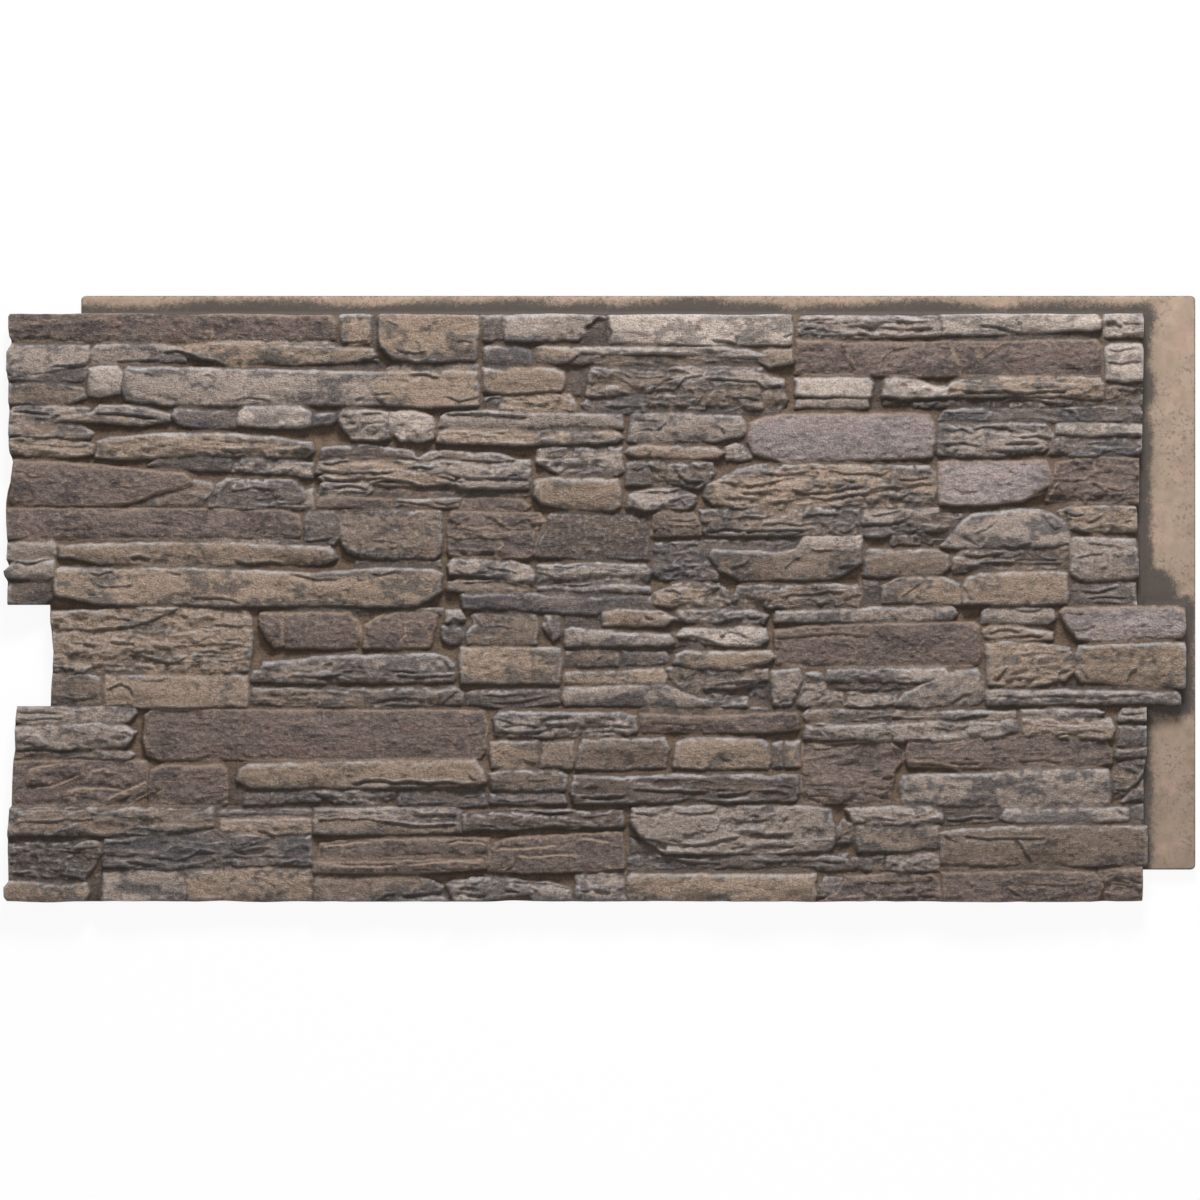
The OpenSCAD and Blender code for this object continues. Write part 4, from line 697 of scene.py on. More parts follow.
    (1.6, 6, 228, 274, 246, 276, 257, 269),
    (1.5, 7, 58, 263, 72, 256, 86, 252),
    (1.3, 5, 58, 215, 75, 212, 98, 213),
    (2.4, 9, 105, 221, 114, 225, 122, 229, 132, 224, 137, 213),
    (1.5, 4, 116, 207, 137, 207),
    (1.2, 6, 140, 232, 160, 231, 177, 235),
    (1, 6, 217, 212, 226, 218, 229, 227),
    (1.6, 4, 12, 199, 35, 199, 60, 197),
    (1.6, 4, 14, 191, 40, 192, 66, 193),
    (2, 5, 118, 177, 128, 178, 135, 174),
    (2.5, 8, 127, 162, 134, 171, 141, 177),
    (1, 6, 291, 266, 292, 282, 290, 299),
    (1, 6, 242, 191, 252, 181, 250, 170),
    (1.1, 6, 372, 269, 374, 282, 372, 292, 363, 301),
    (1.1, 6, 377, 271, 378, 290, 390, 297, 402, 304),
    (1.1, 6, 408, 299, 418, 290, 419, 280, 412, 271),
    (1.2, 7, 422, 296, 436, 290, 443, 282, 446, 271),
    (1.6, 6, 487, 304, 494, 294, 502, 288),
    (2.4, 8, 555, 271, 559, 286, 557, 301),
    (1.6, 6, 566, 301, 568, 288, 575, 275),
    (1.2, 6, 498, 289, 520, 289, 532, 285),
    (2, 12, 457, 289, 470, 297, 486, 291),
    (1.6, 5, 298, 243, 320, 242, 330, 245, 338, 249, 348, 251),
    (2.4, 5, 350, 242, 366, 242, 382, 240),
    (2.4, 5, 402, 243, 418, 242, 434, 240),
    (2, 5, 298, 237, 330, 236, 352, 239, 366, 235),
    (1.8, 5, 408, 238, 430, 236, 450, 237, 470, 238),
    (1.3, 8, 450, 261, 459, 254, 465, 246, 471, 242),
    (1.6, 6, 330, 213, 326, 202),
    (1.5, 6, 380, 208, 400, 213, 420, 214, 442, 211),
    (1.3, 5, 393, 206, 420, 207, 447, 204),
    (1.3, 7, 453, 205, 464, 214, 475, 223),
    (1.7, 5, 504, 265, 499, 256, 495, 249),
    (1.5, 6, 498, 217, 520, 216, 542, 218),
    (1.5, 6, 508, 210, 530, 209, 550, 212, 572, 216),
    (2, 5, 512, 191, 525, 190, 537, 186),
    (1.8, 5, 518, 184, 540, 187, 562, 184),
    (2, 8, 556, 191, 572, 194, 585, 195),
    (2.6, 5, 560, 186, 580, 186, 602, 188),
    (2.4, 6, 510, 179, 535, 178, 560, 180, 575, 184, 602, 186),
    (1, 5, 502, 197, 504, 184, 503, 169),
    (1, 4, 468, 185, 485, 184, 500, 185),
    (1.7, 5, 666, 301, 674, 297, 682, 297),
    (1.5, 6, 678, 303, 692, 302, 702, 297),
    (1.5, 6, 701, 305, 706, 297, 716, 291),
    (2.8, 6, 746, 290, 754, 296, 765, 297, 777, 294),
    (2, 5, 763, 296, 780, 297, 794, 299),
    (1.4, 5, 683, 278, 695, 282, 704, 279),
    (1.2, 8, 654, 269, 660, 278, 674, 284),
    (3, 8, 701, 277, 718, 278, 732, 275, 745, 271, 757, 267),
    (1.4, 5, 750, 269, 749, 277, 756, 282, 770, 281, 780, 274),
    (1.2, 6, 770, 247, 788, 250, 802, 254),
    (1.4, 5, 618, 249, 621, 256, 628, 259),
    (1.5, 7, 642, 246, 642, 261),
    (1.5, 4, 648, 249, 668, 248, 692, 249),
    (1.5, 4, 638, 232, 646, 233, 652, 229),
    (3, 8, 726, 222, 742, 224, 760, 222, 775, 224, 785, 227, 797, 226),
    (1.6, 6, 740, 227, 752, 229, 765, 230, 787, 232),
    (1.8, 6, 728, 225, 738, 219, 743, 211),
    (1.2, 7, 721, 214, 728, 224, 733, 233),
    (1.2, 6, 750, 213, 765, 216, 780, 216),
    (1.5, 8, 777, 205, 780, 214, 785, 223),
    (1.3, 5, 804, 240, 806, 222, 811, 209),
    (1.5, 4, 806, 209, 815, 213, 824, 210),
    (1, 6, 866, 220, 875, 212, 879, 205),
    (1.4, 5, 878, 242, 884, 236, 898, 239),
    (2, 5, 804, 277, 820, 278, 840, 280, 870, 281, 907, 278),
    (1, 5, 876, 273, 888, 266, 890, 258, 899, 250),
    (2.5, 6, 836, 187, 855, 185, 880, 190, 905, 190),
    (1.6, 6, 838, 181, 852, 177, 858, 171),
    (1, 5, 673, 188, 700, 188, 732, 186),
    (2, 5, 620, 193, 632, 194, 642, 190),
    (2.4, 6, 598, 185, 620, 184, 640, 186, 657, 184),
    (1.5, 5, 613, 178, 635, 180, 652, 178),
    (2, 5, 1053, 306, 1068, 304, 1087, 307),
    (2.6, 6, 1022, 277, 1035, 275, 1050, 277, 1070, 280, 1087, 278),
    (1.8, 5, 1026, 279, 1038, 285, 1050, 285, 1064, 281),
    (1.2, 5, 1106, 303, 1125, 302, 1142, 300),
    (1.4, 6, 1116, 284, 1130, 286, 1142, 292),
    (1.1, 5, 1146, 274, 1148, 284, 1151, 293),
    (2.4, 6, 1034, 232, 1042, 240, 1050, 248),
    (2, 9, 1098, 228, 1102, 240, 1112, 243, 1120, 242),
    (1.2, 7, 1058, 258, 1085, 262, 1102, 257),
    (1.3, 6, 1043, 231, 1060, 236, 1082, 233),
    (1.2, 8, 1050, 269, 1045, 259, 1050, 249),
    (2, 14, 1171, 228, 1176, 240, 1184, 246),
    (1.2, 7, 1119, 251, 1128, 240, 1135, 231),
    (1.5, 5, 1033, 216, 1060, 215, 1090, 216, 1132, 216),
    (1.6, 5, 1138, 218, 1150, 214, 1165, 217, 1192, 216),
    (2.4, 6, 988, 207, 996, 213, 1003, 218, 1012, 218),
    (2, 8, 898, 193, 925, 195, 945, 192, 962, 193),
    (1.6, 5, 898, 188, 920, 187, 942, 189),
    (1.6, 6, 963, 193, 964, 178),
    (2.2, 9, 993, 191, 1010, 196, 1030, 195),
    (1.2, 6, 973, 191, 985, 180, 998, 182),
    (1.4, 5, 998, 182, 1015, 186, 1037, 186),
    (1.5, 5, 1068, 198, 1090, 195, 1112, 194),
    (2.6, 5, 1093, 175, 1110, 177, 1124, 176),
    (1.4, 6, 1098, 181, 1115, 179, 1135, 181, 1152, 177),
    (1.6, 4, 1163, 196, 1180, 198, 1194, 197),
    (2.6, 4, 1158, 188, 1175, 190, 1195, 190),
    # the lowest courses
    (1.6, 5, 55, 145, 44, 143, 32, 141, 26, 138, 24, 123),
    (1.8, 5, 80, 133, 66, 127, 50, 121, 31, 119),
    (1.6, 5, 108, 141, 92, 138, 84, 125),
    (1.6, 5, 124, 117, 114, 119, 95, 120, 76, 119, 62, 115),
    (1.2, 5, 76, 118, 74, 103),
    (1.6, 5, 152, 128, 140, 122, 126, 117, 106, 108),
    (1.6, 5, 154, 118, 145, 111, 135, 105),
    (1.2, 5, 170, 119, 160, 114, 165, 105, 185, 101),
    (1.2, 6, 196, 133, 205, 130, 217, 130),
    (1.4, 4, 88, 97, 74, 95, 56, 97, 9, 97),
    (2, 6, 9, 84, 30, 85, 52, 85, 66, 87, 84, 86, 98, 89),
    (1.6, 5, 103, 62, 92, 66, 78, 67, 66, 64, 58, 60),
    (1.8, 6, 62, 57, 74, 56, 88, 58, 100, 58),
    (1.4, 5, 5, 51, 15, 51, 28, 49),
    (1.4, 5, 8, 31, 20, 31, 32, 34),
    (2, 5, 38, 28, 44, 26, 50, 24),
    (1.6, 5, 58, 30, 70, 28, 82, 25),
    (1.8, 7, 82, 22, 62, 23, 50, 20, 30, 23, 8, 22),
    (1.5, 5, 105, 50, 125, 49, 145, 52),
    (2.4, 6, 126, 43, 140, 43, 150, 40, 162, 39),
    (1.4, 5, 150, 47, 165, 47, 180, 46),
    (1.6, 5, 225, 49, 250, 48, 264, 46),
    (1.4, 5, 266, 49, 285, 48, 303, 49),
    (1.2, 5, 232, 93, 255, 93, 290, 92, 318, 92),
    (1.3, 4, 320, 89, 300, 88, 280, 87, 228, 87),
    (2.6, 6, 262, 75, 272, 75, 280, 72, 285, 69),
    (1, 6, 258, 27, 270, 24, 280, 20, 289, 13),
    (4, 8, 362, 123, 376, 128, 392, 128, 408, 125, 424, 127, 444, 125, 462, 127, 480, 124, 498, 126),
    (1.6, 6, 354, 134, 362, 132, 368, 130),
    (2, 6, 484, 135, 490, 130, 497, 127),
    (1.8, 5, 386, 115, 393, 112, 396, 109),
    (1.6, 5, 478, 111, 490, 110, 499, 112),
    (1.4, 5, 430, 104, 450, 103, 466, 104),
    (3, 14, 325, 87, 350, 88, 385, 87, 405, 84, 425, 82, 440, 81, 475, 82),
    (2.4, 5, 426, 91, 440, 92, 458, 92, 475, 92),
    (1.6, 5, 385, 63, 370, 63, 355, 60, 340, 60, 330, 58),
    (1.6, 5, 331, 54, 338, 46, 350, 46, 355, 52, 354, 57),
    (1.8, 5, 353, 57, 362, 57, 369, 60),
    (1.4, 5, 505, 62, 488, 62, 475, 63, 462, 60),
    (1.6, 5, 410, 38, 385, 38, 360, 38, 345, 40, 338, 38),
    (1.6, 5, 500, 41, 485, 43, 470, 44, 455, 42, 435, 41, 420, 39),
    (1.6, 5, 424, 36, 440, 36, 452, 33),
    (1.6, 5, 455, 38, 470, 36, 486, 36),
    (2, 6, 386, 1, 394, 5, 402, 9, 412, 10),
    (2.4, 6, 414, 8, 430, 9, 446, 10, 463, 11),
    (2.4, 6, 520, 11, 526, 14, 530, 15, 536, 11, 543, 13),
    (2.6, 8, 530, 23, 545, 21, 570, 20, 590, 15, 600, 12),
    (2, 6, 545, 20, 551, 15, 560, 11),
    (1.6, 6, 472, 12, 482, 9, 500, 8, 518, 6),
    (1.4, 5, 580, 60, 560, 58, 545, 57, 520, 56, 512, 53),
    (1.4, 5, 600, 50, 580, 50, 565, 48, 548, 48, 535, 50),
    (1.4, 7, 505, 44, 510, 35, 522, 33, 532, 40, 532, 49),
    (2.6, 8, 480, 93, 495, 95, 515, 97, 540, 97, 558, 95, 570, 93, 600, 95),
    (2, 6, 485, 77, 510, 76, 540, 77, 570, 80, 600, 80),
    (1.2, 6, 545, 128, 556, 127, 570, 128),
    (1.4, 5, 512, 107, 535, 106, 560, 107),
    (1.4, 5, 571, 112, 571, 105),
    (1.6, 6, 540, 153, 546, 148, 558, 145),
    (3, 8, 600, 111, 615, 110, 630, 111, 650, 113),
    (3, 8, 655, 119, 672, 118, 690, 117, 712, 117, 738, 116),
    (3.2, 8, 742, 113, 756, 113, 772, 115, 781, 117),
    (1.8, 6, 804, 123, 814, 123, 826, 120),
    (1.4, 5, 836, 124, 850, 123, 870, 124),
    (1.4, 5, 838, 112, 855, 113, 871, 111),
    (2, 7, 746, 153, 753, 150, 762, 148),
    (1.2, 6, 752, 147, 760, 144, 768, 141),
    (2.4, 5, 658, 93, 668, 94, 680, 93),
    (2.6, 5, 700, 95, 720, 93, 745, 94),
    (1, 9, 713, 72, 715, 80, 716, 90),
    (2.2, 5, 741, 71, 745, 79, 749, 89),
    (1.6, 5, 775, 96, 760, 95, 752, 86),
    (3, 6, 751, 83, 758, 86, 763, 82, 768, 85, 785, 86, 801, 87),
    (2.4, 6, 808, 72, 810, 79, 814, 87, 821, 92),
    (4, 9, 774, 69, 782, 73, 790, 73, 797, 71, 806, 72, 826, 73),
    (3.4, 8, 664, 68, 678, 66, 690, 63, 704, 61, 720, 60, 734, 62, 748, 66, 770, 70),
    (2.2, 6, 757, 57, 767, 58, 776, 62),
    (2.4, 5, 788, 61, 800, 61, 814, 60, 828, 60),
    (3, 14, 691, 64, 692, 53),
    (1.6, 5, 780, 44, 810, 43, 840, 44, 880, 42),
    (1.6, 6, 700, 44, 720, 42, 740, 42, 752, 40),
    (1.4, 5, 600, 12, 615, 13, 632, 14),
    (1.8, 5, 600, 80, 620, 78, 646, 80),
    (1.6, 5, 600, 91, 612, 89, 635, 93),
    (1.4, 5, 636, 63, 625, 64, 614, 67, 600, 66),
    (1.6, 5, 947, 152, 962, 151, 976, 152),
    (2.8, 6, 946, 146, 965, 146, 980, 144, 992, 140, 1004, 137),
    (1.8, 5, 985, 147, 1003, 146, 1021, 147),
    (2.2, 5, 1056, 147, 1070, 149, 1085, 150, 1105, 146),
    (2, 7, 1158, 146, 1164, 149, 1172, 152),
    (2.2, 9, 1158, 118, 1172, 118, 1182, 124, 1192, 136),
    (1.8, 5, 1134, 122, 1134, 137),
    (2, 5, 900, 129, 910, 129, 919, 127),
    (1.8, 5, 900, 121, 912, 120, 924, 119),
    (1.8, 6, 903, 90, 918, 88, 935, 86),
    (2.2, 5, 982, 87, 1000, 86, 1012, 89, 1036, 89),
    (1.8, 6, 1160, 97, 1168, 93, 1172, 89),
    (2.2, 5, 1000, 70, 1012, 68, 1030, 67, 1050, 68, 1090, 68),
    (3, 9, 1057, 68, 1062, 60, 1068, 51, 1077, 40),
    (1.8, 7, 980, 71, 990, 66, 1000, 62),
    (2.2, 6, 1045, 16, 1055, 11, 1065, 6),
    (1.4, 6, 1062, 21, 1085, 20, 1105, 19, 1127, 20),
    (2.6, 7, 900, 23, 910, 21, 920, 22, 940, 21, 970, 23),
    (1.4, 6, 1150, 21, 1165, 19, 1182, 18),
]

# Edges of the stone face by height: the left and the right end, as (y, x) pairs.
LEFT_EDGE = [
    (0, 4), (6, 0), (16, 0), (22, 5), (70, 4), (98, 6), (101, 8), (148, 10), (160, 12), (185, 12), (204, 14),
    (205, 49), (240, 51), (262, 52), (290, 49), (310, 48), (311, 4), (335, 4), (341, 1), (346, 0), (351, 6),
    (358, 3), (375, 4), (411, 2), (418, 2), (430, 4), (440, 7), (450, 8.5), (460, 10), (470, 6), (485, 5),
    (500, 5), (512, 6), (522, 5), (543, 5), (548, 4), (555, 3), (575, 3), (583, 8), (587, 8), (591, 6),
    (600, 5), (612, 5), (616, 8),
]
RIGHT_EDGE = [
    (0, 1189), (37, 1189), (40, 1194), (80, 1194), (82, 1190), (138, 1190), (152, 1193), (204.5, 1193),
    (205.5, 1229), (221, 1229), (225, 1234), (308, 1234), (310.5, 1228), (311, 1183), (335, 1183),
    (336, 1185), (380, 1185), (386, 1183), (413, 1183), (415, 1185), (465, 1185), (466, 1188), (616, 1190),
]
# Levels of the long course joints, where one piece of the face ends and the next begins.
BAND_LEVELS = [0, 100.3, 205.0, 310.8, 411.5, 515, 616]
# The band that has the key at its right end and the notch at its left.
KEY_BAND = 2


def linear(rgb: tuple) -> np.ndarray:
    """A colour written in 0 to 255 as linear light: v / 12.92, or ((v + 0.055) / 1.055) ** 2.4."""
    v = np.asarray(rgb, float) / 255
    return np.where(v <= 0.04045, v / 12.92, ((v + 0.055) / 1.055) ** 2.4)


def smooth(low: float, high: float, v: np.ndarray) -> np.ndarray:
    """A soft step from 0 at low to 1 at high: t * t * (3 - 2 t)."""
    t = np.clip((v - low) / (high - low), 0, 1)
    return t * t * (3 - 2 * t)


def lattice(ix: np.ndarray, iy: np.ndarray, seed: int) -> np.ndarray:
    """A fixed value from 0 to 1 at each whole-number lattice point, mixed from its two indices.

    Args:
        ix: Column of the lattice point.
        iy: Row of the lattice point.
        seed: Picks one of many lattices.

    Returns:
        The values, in the shape of ix.
    """
    h = ix.astype(np.int64) * MIX_X + iy.astype(np.int64) * MIX_Y + seed * MIX_SEED
    h = (h ^ (h >> 13)) & WORD
    h = (h * MIX_LAST) & WORD
    h = (h ^ (h >> 16)) & WORD
    return (h & LOW_BITS) / float(LOW_BITS)


def value_noise(x: np.ndarray, y: np.ndarray, seed: int) -> np.ndarray:
    """Smooth noise from -1 to 1: lattice values blended by quintic weights between the four corners."""
    x0, y0 = np.floor(x), np.floor(y)
    fx, fy = x - x0, y - y0
    wx = fx * fx * fx * (fx * (6 * fx - 15) + 10)
    wy = fy * fy * fy * (fy * (6 * fy - 15) + 10)
    a = lattice(x0, y0, seed) * (1 - wx) + lattice(x0 + 1, y0, seed) * wx
    b = lattice(x0, y0 + 1, seed) * (1 - wx) + lattice(x0 + 1, y0 + 1, seed) * wx
    return 2 * (a * (1 - wy) + b * wy) - 1


def layered_noise(x: np.ndarray, y: np.ndarray, seed: int, layers: int = 4) -> np.ndarray:
    """Value noise added up over layers, each twice as fine and half as strong, turned a little."""
    total, weight, norm = np.zeros_like(x), 1.0, 0.0
    for k in range(layers):
        total += weight * value_noise(x, y, seed + 31 * k)
        norm += weight
        weight *= 0.5
        x, y = 2.03 * (0.96 * x - 0.28 * y) + 7.1, 2.03 * (0.28 * x + 0.96 * y) + 3.7
    return total / norm


def ridged_noise(x: np.ndarray, y: np.ndarray, seed: int, layers: int = 4) -> np.ndarray:
    """Sharp crests from 0 to 1: one less the size of each layer's noise, squared, and added up."""
    total, weight, norm = np.zeros_like(x), 1.0, 0.0
    for k in range(layers):
        total += weight * (1 - np.abs(value_noise(x, y, seed + 17 * k))) ** 2
        norm += weight
        weight *= 0.55
        x, y = 1.97 * (0.98 * x - 0.2 * y) + 5.3, 1.97 * (0.2 * x + 0.98 * y) + 9.1
    return total / norm


def cell_noise(x: np.ndarray, y: np.ndarray, seed: int) -> tuple:
    """Cells round scattered points, one point in each lattice square.

    Args:
        x: Position across, in cells.
        y: Position along, in cells.
        seed: Picks the pattern.

    Returns:
        The nearest distance, the second nearest less the nearest, and the cell's own value.
    """
    x0, y0 = np.floor(x), np.floor(y)
    near = np.full(x.shape, 9.0)
    second = near.copy()
    value = np.zeros(x.shape)
    for i in (-1, 0, 1):
        for j in (-1, 0, 1):
            px = x0 + i + lattice(x0 + i, y0 + j, seed)
            py = y0 + j + lattice(x0 + i, y0 + j, seed + 5)
            d = np.hypot(px - x, py - y)
            closer = d < near
            second = np.where(closer, near, np.minimum(second, d))
            value = np.where(closer, lattice(x0 + i, y0 + j, seed + 9), value)
            near = np.where(closer, d, near)
    return near, second - near, value


def terraces(v: np.ndarray, steps: float, edge: float) -> np.ndarray:
    """Flat treads with short steep risers: the whole part of v * steps and a soft step at its end."""
    t = v * steps
    whole = np.floor(t)
    return (whole + smooth(1 - edge, 1, t - whole)) / steps


def blurred(grid: np.ndarray, cells: float) -> np.ndarray:
    """A grid smoothed by three running means in each direction, with its edge values held outside."""
    r = max(1, int(round(cells)))
    out = grid
    for axis in (0, 1):
        for _ in range(3):
            pad = [(0, 0), (0, 0)]
            pad[axis] = (r + 1, r)
            total = np.cumsum(np.pad(out, pad, mode="edge"), axis=axis)
            n = out.shape[axis]
            high = np.take(total, range(2 * r + 1, 2 * r + 1 + n), axis=axis)
            low = np.take(total, range(0, n), axis=axis)
            out = (high - low) / (2 * r + 1)
    return out


def depth_inside(x: np.ndarray, y: np.ndarray, outline: np.ndarray) -> np.ndarray:
    """Distance to an outline, positive inside it and negative outside.

    Args:
        x: Positions across, in millimetres.
        y: Positions along, in millimetres.
        outline: Corner points of a closed outline, one in each row.

    Returns:
        The signed distances, in millimetres.
    """
    a = outline
    b = np.roll(outline, -1, axis=0)
    px, py = x[..., None], y[..., None]
    dx, dy = b[:, 0] - a[:, 0], b[:, 1] - a[:, 1]
    t = np.clip(((px - a[:, 0]) * dx + (py - a[:, 1]) * dy) / (dx * dx + dy * dy), 0, 1)
    away = np.hypot(px - a[:, 0] - t * dx, py - a[:, 1] - t * dy).min(-1)
    crosses = ((a[:, 1] > py) != (b[:, 1] > py)) & (
        px < a[:, 0] + (py - a[:, 1]) * dx / np.where(dy == 0, 1e-9, dy)
    )
    return np.where(crosses.sum(-1) % 2 == 1, away, -away)


def beside_line(x: np.ndarray, y: np.ndarray, line: np.ndarray) -> tuple:
    """Distance to an open line, and which side of it each point is on.

    Args:
        x: Positions across, in millimetres.
        y: Positions along, in millimetres.
        line: Points of the line, one in each row.

    Returns:
        The distances, positive on the line's right side, and the distance along it from its nearer end.
    """
    a, b = line[:-1], line[1:]
    step = b - a
    size = np.hypot(step[:, 0], step[:, 1])
    start = np.cumsum(size) - size
    px, py = x[..., None] - a[:, 0], y[..., None] - a[:, 1]
    t = np.clip((px * step[:, 0] + py * step[:, 1]) / size ** 2, 0, 1)
    away = np.hypot(px - t * step[:, 0], py - t * step[:, 1])
    side = np.sign(px * step[:, 1] - py * step[:, 0] + 1e-9)
    best = away.argmin(-1)[..., None]
    away, side = (np.take_along_axis(v, best, -1)[..., 0] for v in (away, side))
    along = np.take_along_axis(start + t * size, best, -1)[..., 0]
    return away * side, np.minimum(along, size.sum() - along)


def real_height(z: np.ndarray) -> np.ndarray:
    """A height of the layout on the panel: the bed stays, and the highest stone comes to the top."""
    return BED_Z + (z - BED_Z) * (PANEL_T - BED_Z) / (PATTERN_TOP - BED_Z)


@dataclass(frozen=True)
class Stone:
    """One stone of the face: its height, tone, texture and outline.

    In millimetres: its face spreads by grow over the outline, and rounds off over about edge by up to drop.
    It is worked out as far as reach beyond the outline, and by under further at its foot. Outside the
    outline it falls by steep in each millimetre, but only by under_steep on its underside.
    """

    number: int
    height: float
    tone: Tone
    texture: Texture
    outline: np.ndarray
    grow: float = 1.3
    edge: float = 4.2
    drop: float = 4.6
    reach: float = 3.0
    under: float = 6.0
    steep: float = 6.0
    under_steep: float = 1.7

    def relief(self, x: np.ndarray, y: np.ndarray) -> np.ndarray:
        """The broken face over its mean level, in millimetres, in the way of the stone's texture.

        Every face has a broad swell and a fine grain. A smooth one adds low flat ledges and a few broad
        chips, a grained one many small chips, a layered one long crests and steps along the courses, and a
        cleft one steps and crests across it and split pieces at different heights.

        Args:
            x: Positions across, in millimetres of the layout.
            y: Positions along, likewise.

        Returns:
            The heights over the mean level.
        """
        s = 100 * self.number
        v = y + 4.5 * layered_noise(x / 30, y / 12, s + 1, 3)
        u = x + 6 * layered_noise(x / 34, y / 20, s + 9, 2)
        swell = 1.7 * layered_noise(x / 36, y / 15, s + 2, 2)
        fine = layered_noise(x / 5, y / 4, s + 3, 3)
        broad = 0.5 + 0.5 * layered_noise(u / 44, v / 13, s + 4, 4)
        ledge = terraces(broad, 3.1, 0.2) - 0.5
        if self.texture is Texture.SMOOTH:
            chips = ridged_noise(u / 24, v / 14, s + 5, 3) - 0.5
            return swell + 1.5 * ledge + 1.0 * chips + 0.8 * fine
        if self.texture is Texture.GRAIN:
            chips = ridged_noise(u / 5.5, v / 4.8, s + 5, 3) - 0.5
            broken = ridged_noise(u / 19, v / 13, s + 6, 2) - 0.5
            return 0.7 * swell + 1.6 * chips + 1.6 * broken + 0.9 * ledge + 1.1 * fine
        if self.texture is Texture.STRATA:
            tilt = 0.05 * x * (lattice(np.array(s), np.array(1), Seed.TILT) - 0.5)
            crest = ridged_noise(u / 38, (v + tilt) / 11, s + 6, 2) - 0.5
            wave = layered_noise(u / 50, (v + tilt) / 12, s + 7, 2)
            step = terraces(0.5 + 0.5 * wave, 2.7, 0.25) - 0.5
            return swell + 3.2 * crest + 4.4 * step + 1.0 * fine
        crest = ridged_noise(u / 20, v / 12, s + 6, 2) - 0.5
        step = terraces(0.5 + 0.5 * layered_noise(u / 26, v / 14, s + 7, 2), 2.7, 0.25) - 0.5
        _, gap, own = cell_noise(u / 22 + 0.3 * fine, v / 11, s + 8)
        return swell + 4.8 * step + 3.2 * crest + 3.2 * (own - 0.5) * smooth(0, 0.16, gap) + 0.9 * fine

    def lean(self, x: np.ndarray, y: np.ndarray) -> np.ndarray:
        """A slight tilt of the whole stone about its middle, a different one for each."""
        low, high = self.outline.min(0), self.outline.max(0)
        mid, size = (low + high) / 2, np.maximum(high - low, 1)
        a, b = (lattice(np.array(self.number), np.array(k), Seed.LEAN) * 2 - 1 for k in (1, 2))
        return 1.1 * a * (x - mid[0]) / size[0] * 2 + 1.3 * b * (y - mid[1]) / size[1] * 2


